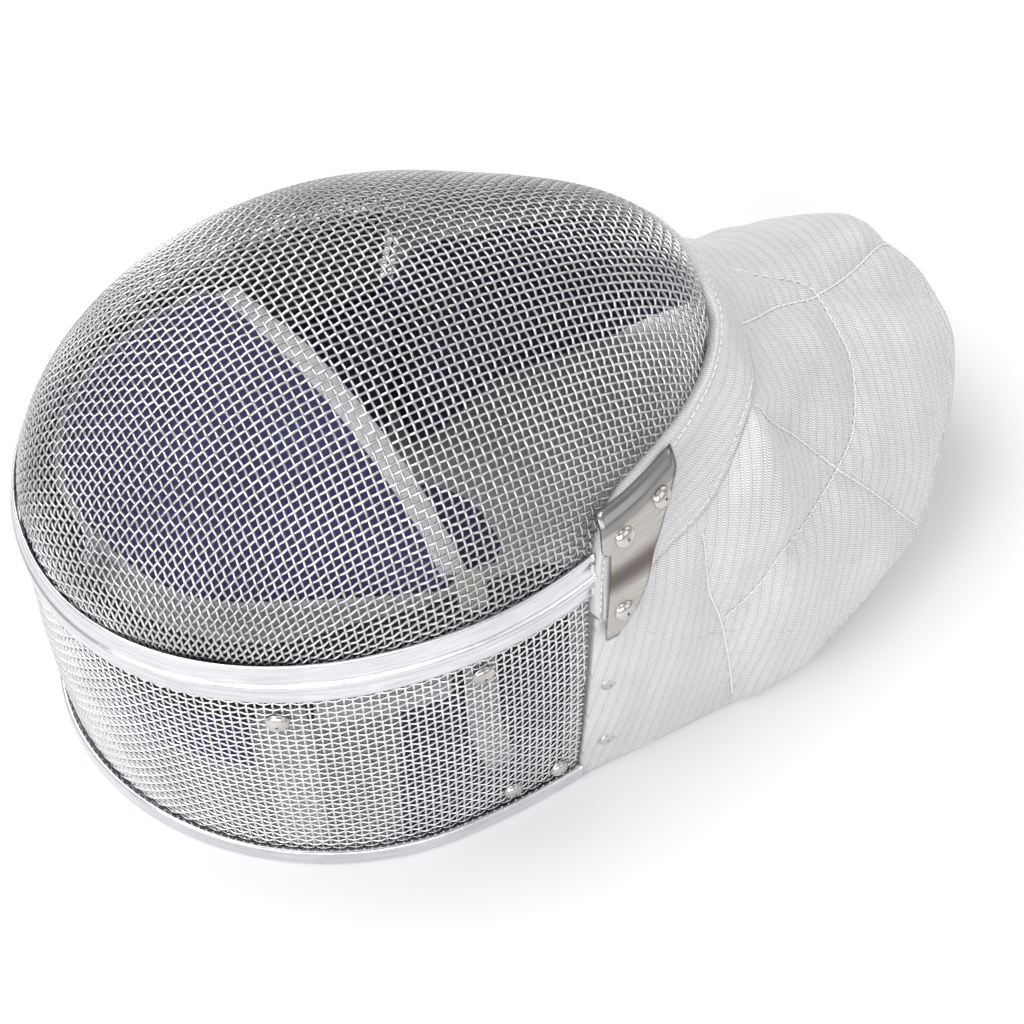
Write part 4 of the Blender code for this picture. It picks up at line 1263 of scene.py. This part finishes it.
piping = loft("crown_piping", tube_rings(arc_edge + sideways(arc_edge, (-400, 0, 123)) * 2.0, 1.6, 10), GREY)
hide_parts("crown_pad_piping")
ahead = sideways(chord_edge, (400, 0, 123))
FOLD = ((6.4, 0.0), (5.9, 1.4), (4.4, 2.4), (2.0, 3.1), (-0.6, 3.9), (-3.0, 4.6), (-3.7, 4.1))
fold = np.array(FOLD + tuple((a, -b) for a, b in FOLD[:0:-1]))
fold = np.insert(fold, len(FOLD), (-3.7, 0.0), axis=0)
ring = chord_edge[:, None] + fold[None, :, :1] * ahead[:, None] + fold[None, :, 1:] * RISE
binding = loft("crown_binding", ring, BINDING)
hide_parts("crown_pad_binding")

# Lappet below the crown pad's near end, and the riveted tab
LAPPET_INNER = (
    (-43.0, -63.5, 116.0), (-43.0, -55.0, 117.2), (-43.6, -45.0, 118.7), (-45.0, -36.0, 120.9),
    (-45.5, -28.0, 122.6),
)
LAPPET_OUTER = (
    (-27.5, -63.5, 114.8), (-23.2, -57.5, 115.0), (-23.6, -48.6, 115.8), (-27.5, -37.0, 117.4),
    (-37.5, -29.0, 120.8),
)
held = resample(LAPPET_INNER, 31)
free = resample(LAPPET_OUTER, 31)
share_l = np.linspace(0, 1, 19)
body = between(held, free, share_l)
edge_l = bulge(np.linspace(-1, 1, 31)[:, None], 8) * bulge(share_l[None, :], 8)
lappet_top = body - RISE * (1.0 - edge_l)[..., None]
lappet_low = body - RISE * (1.5 + 1.1 * edge_l)[..., None]
lappet = closed_sheet("lappet_pad", lappet_top, lappet_low, NAVY)
dress(lappet, "pad_lappet")
a = np.linspace(0, 1, 9)[:, None, None]
b = np.linspace(0, 1, 13)[None, :, None]
near_end = np.array([-49.0, -82.0]) * (1 - a) + np.array([-38.5, -83.5]) * a
far_end = np.array([-44.5, -67.5]) * (1 - a) + np.array([-34.0, -69.5]) * a
flat_tab = near_end * (1 - b) + far_end * b
round_tab = 0.25 * (np.abs(a - 0.5) * 2) ** 6
tab_top = np.concatenate([flat_tab, 122.5 - round_tab + 0 * b], -1)
tab_low = np.concatenate([flat_tab, 121.6 + round_tab + 0 * b], -1)
tab = closed_sheet("riveted_tab", tab_top, tab_low, CREAM)
dress(tab, "rivet_tab_near")

# Floor and light
floor = bpy.data.meshes.new("floor")
corners = ((-1, -1), (1, -1), (1, 1), (-1, 1))
floor.from_pydata([(x * FLOOR_HALF, y * FLOOR_HALF, 0) for x, y in corners], [], [(0, 1, 2, 3)])
ground = bpy.data.objects.new("floor", floor)
bpy.context.scene.collection.objects.link(ground)
paper = Nodes("floor_paper")
shade = paper.mix(paper.noise(8.0), (0.80, 0.80, 0.80), (0.84, 0.84, 0.84))
paper.link(shade, paper.shader.inputs["Base Color"])
paper.shader.inputs["Roughness"].default_value = 0.9
floor.materials.append(paper.material)

world = bpy.data.worlds.new("studio")
bpy.context.scene.world = world
world.use_nodes = True
world.node_tree.nodes["Background"].inputs[0].default_value = (0.90, 0.905, 0.925, 1)
world.node_tree.nodes["Background"].inputs[1].default_value = 0.67


def area_light(name, place, target, size, power):
    lamp = bpy.data.lights.new(name, "AREA")
    lamp.shape = "RECTANGLE"
    lamp.size, lamp.size_y = size
    lamp.energy = power
    obj = bpy.data.objects.new(name, lamp)
    obj.location = place
    obj.rotation_euler = (Vector(target) - Vector(place)).to_track_quat("-Z", "Y").to_euler()
    bpy.context.scene.collection.objects.link(obj)


area_light("key", (-0.5, 0.5, 1.5), (0, 0, 0.1), (1.2, 1.2), 17)
area_light("fill", (0.9, -1.2, 0.9), (0, 0, 0.1), (1.0, 1.0), 3)
area_light("front", (-0.45, -1.2, 0.7), (-0.05, -0.05, 0.05), (1.1, 0.8), 6.5)
area_light("left", (-1.3, -0.7, 0.7), (0, 0, 0.1), (0.8, 0.8), 7)
area_light("right", (1.1, 0.3, 0.9), (0.3, 0, 0), (1.0, 1.0), 3.5)

bpy.context.scene.view_settings.view_transform = "Standard"
